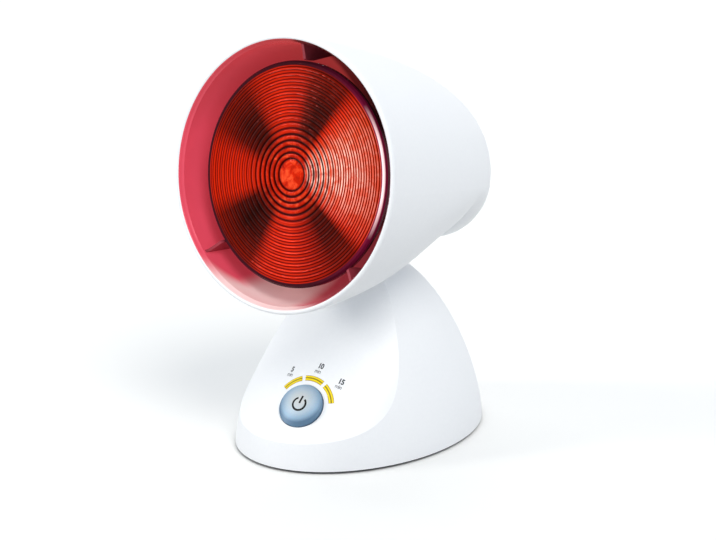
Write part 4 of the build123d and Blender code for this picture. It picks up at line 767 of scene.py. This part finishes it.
def seen_directly(tree):
    """One for rays from the camera or by way of a reflection or glass, zero for the rest."""
    rays = add_node(tree, "LightPath").outputs
    larger = {"operation": "MAXIMUM"}
    seen = add_node(tree, "Math", larger, {0: rays["Is Camera Ray"], 1: rays["Is Glossy Ray"]})
    return add_node(
        tree, "Math", larger, {0: rays["Is Transmission Ray"], 1: seen.outputs[0]}
    ).outputs[0]


# Matt white paint. The camera and reflections see its full white. It throws less light back up
# than that, as a table does whose far parts lie in the studio's dark.
floor_paint, tree, skin = start_material(
    "table_white_matt", {"Roughness": 0.9, "Specular IOR Level": 0.1}
)
seen = seen_directly(tree)
white = add_node(
    tree, "Mix", {"data_type": "RGBA", 6: linear("C4C3C1"), 7: linear("F0F0EE")}, {0: seen}
).outputs[2]
tree.links.new(white, skin.inputs["Base Color"])
lift = add_node(tree, "Math", {"operation": "MULTIPLY", 1: WHITE_LIFT}, {0: seen}).outputs[0]
skin.inputs["Emission Color"].default_value = (1, 1, 1, 1)
tree.links.new(lift, skin.inputs["Emission Strength"])

shape = bmesh.new()
bmesh.ops.create_grid(shape, x_segments=8, y_segments=8, size=TABLE_HALF)
table_top = make_piece("table_top", shape, floor_paint)

world = bpy.data.worlds.new("studio")
world.use_nodes = True
tree = world.node_tree
tree.nodes.clear()
seen = seen_directly(tree)
fill = add_node(tree, "Background", {"Color": linear("E6EEF8"), "Strength": SKY_STRENGTH}).outputs[0]
backdrop = add_node(tree, "Background", {"Color": (1, 1, 1, 1), "Strength": 1.0}).outputs[0]
sky = add_node(tree, "MixShader", links={0: seen, 1: fill, 2: backdrop}).outputs[0]
add_node(tree, "OutputWorld", links={"Surface": sky})
bpy.context.scene.world = world

for name, turn, rise, spread, strength in LIGHTS:
    soft = bpy.data.lights.new(name, "SUN")
    soft.energy = strength
    soft.color = LIGHT_TINT
    soft.angle = radians(spread)
    lamp = bpy.data.objects.new(name, soft)
    turn, rise = radians(turn), radians(rise)
    lamp.rotation_mode = "QUATERNION"
    towards = Vector((sin(turn) * cos(rise), -cos(turn) * cos(rise), sin(rise)))
    lamp.rotation_quaternion = towards.to_track_quat("Z", "Y")
    bpy.context.collection.objects.link(lamp)

lens = bpy.data.cameras.new("camera")
lens.lens = FOCAL_LENGTH_MM
lens.sensor_width = SENSOR_MM
lens.clip_start, lens.clip_end = 0.05, 60.0
camera = bpy.data.objects.new("camera", lens)
camera.location = CAMERA_PLACE
looking = Vector((
    -sin(CAMERA_TURN) * cos(CAMERA_RISE), cos(CAMERA_TURN) * cos(CAMERA_RISE), -sin(CAMERA_RISE)
))
camera.rotation_mode = "QUATERNION"
camera.rotation_quaternion = looking.to_track_quat("-Z", "Y")
bpy.context.collection.objects.link(camera)
bpy.context.scene.camera = camera
bpy.context.scene.view_settings.view_transform = "Standard"
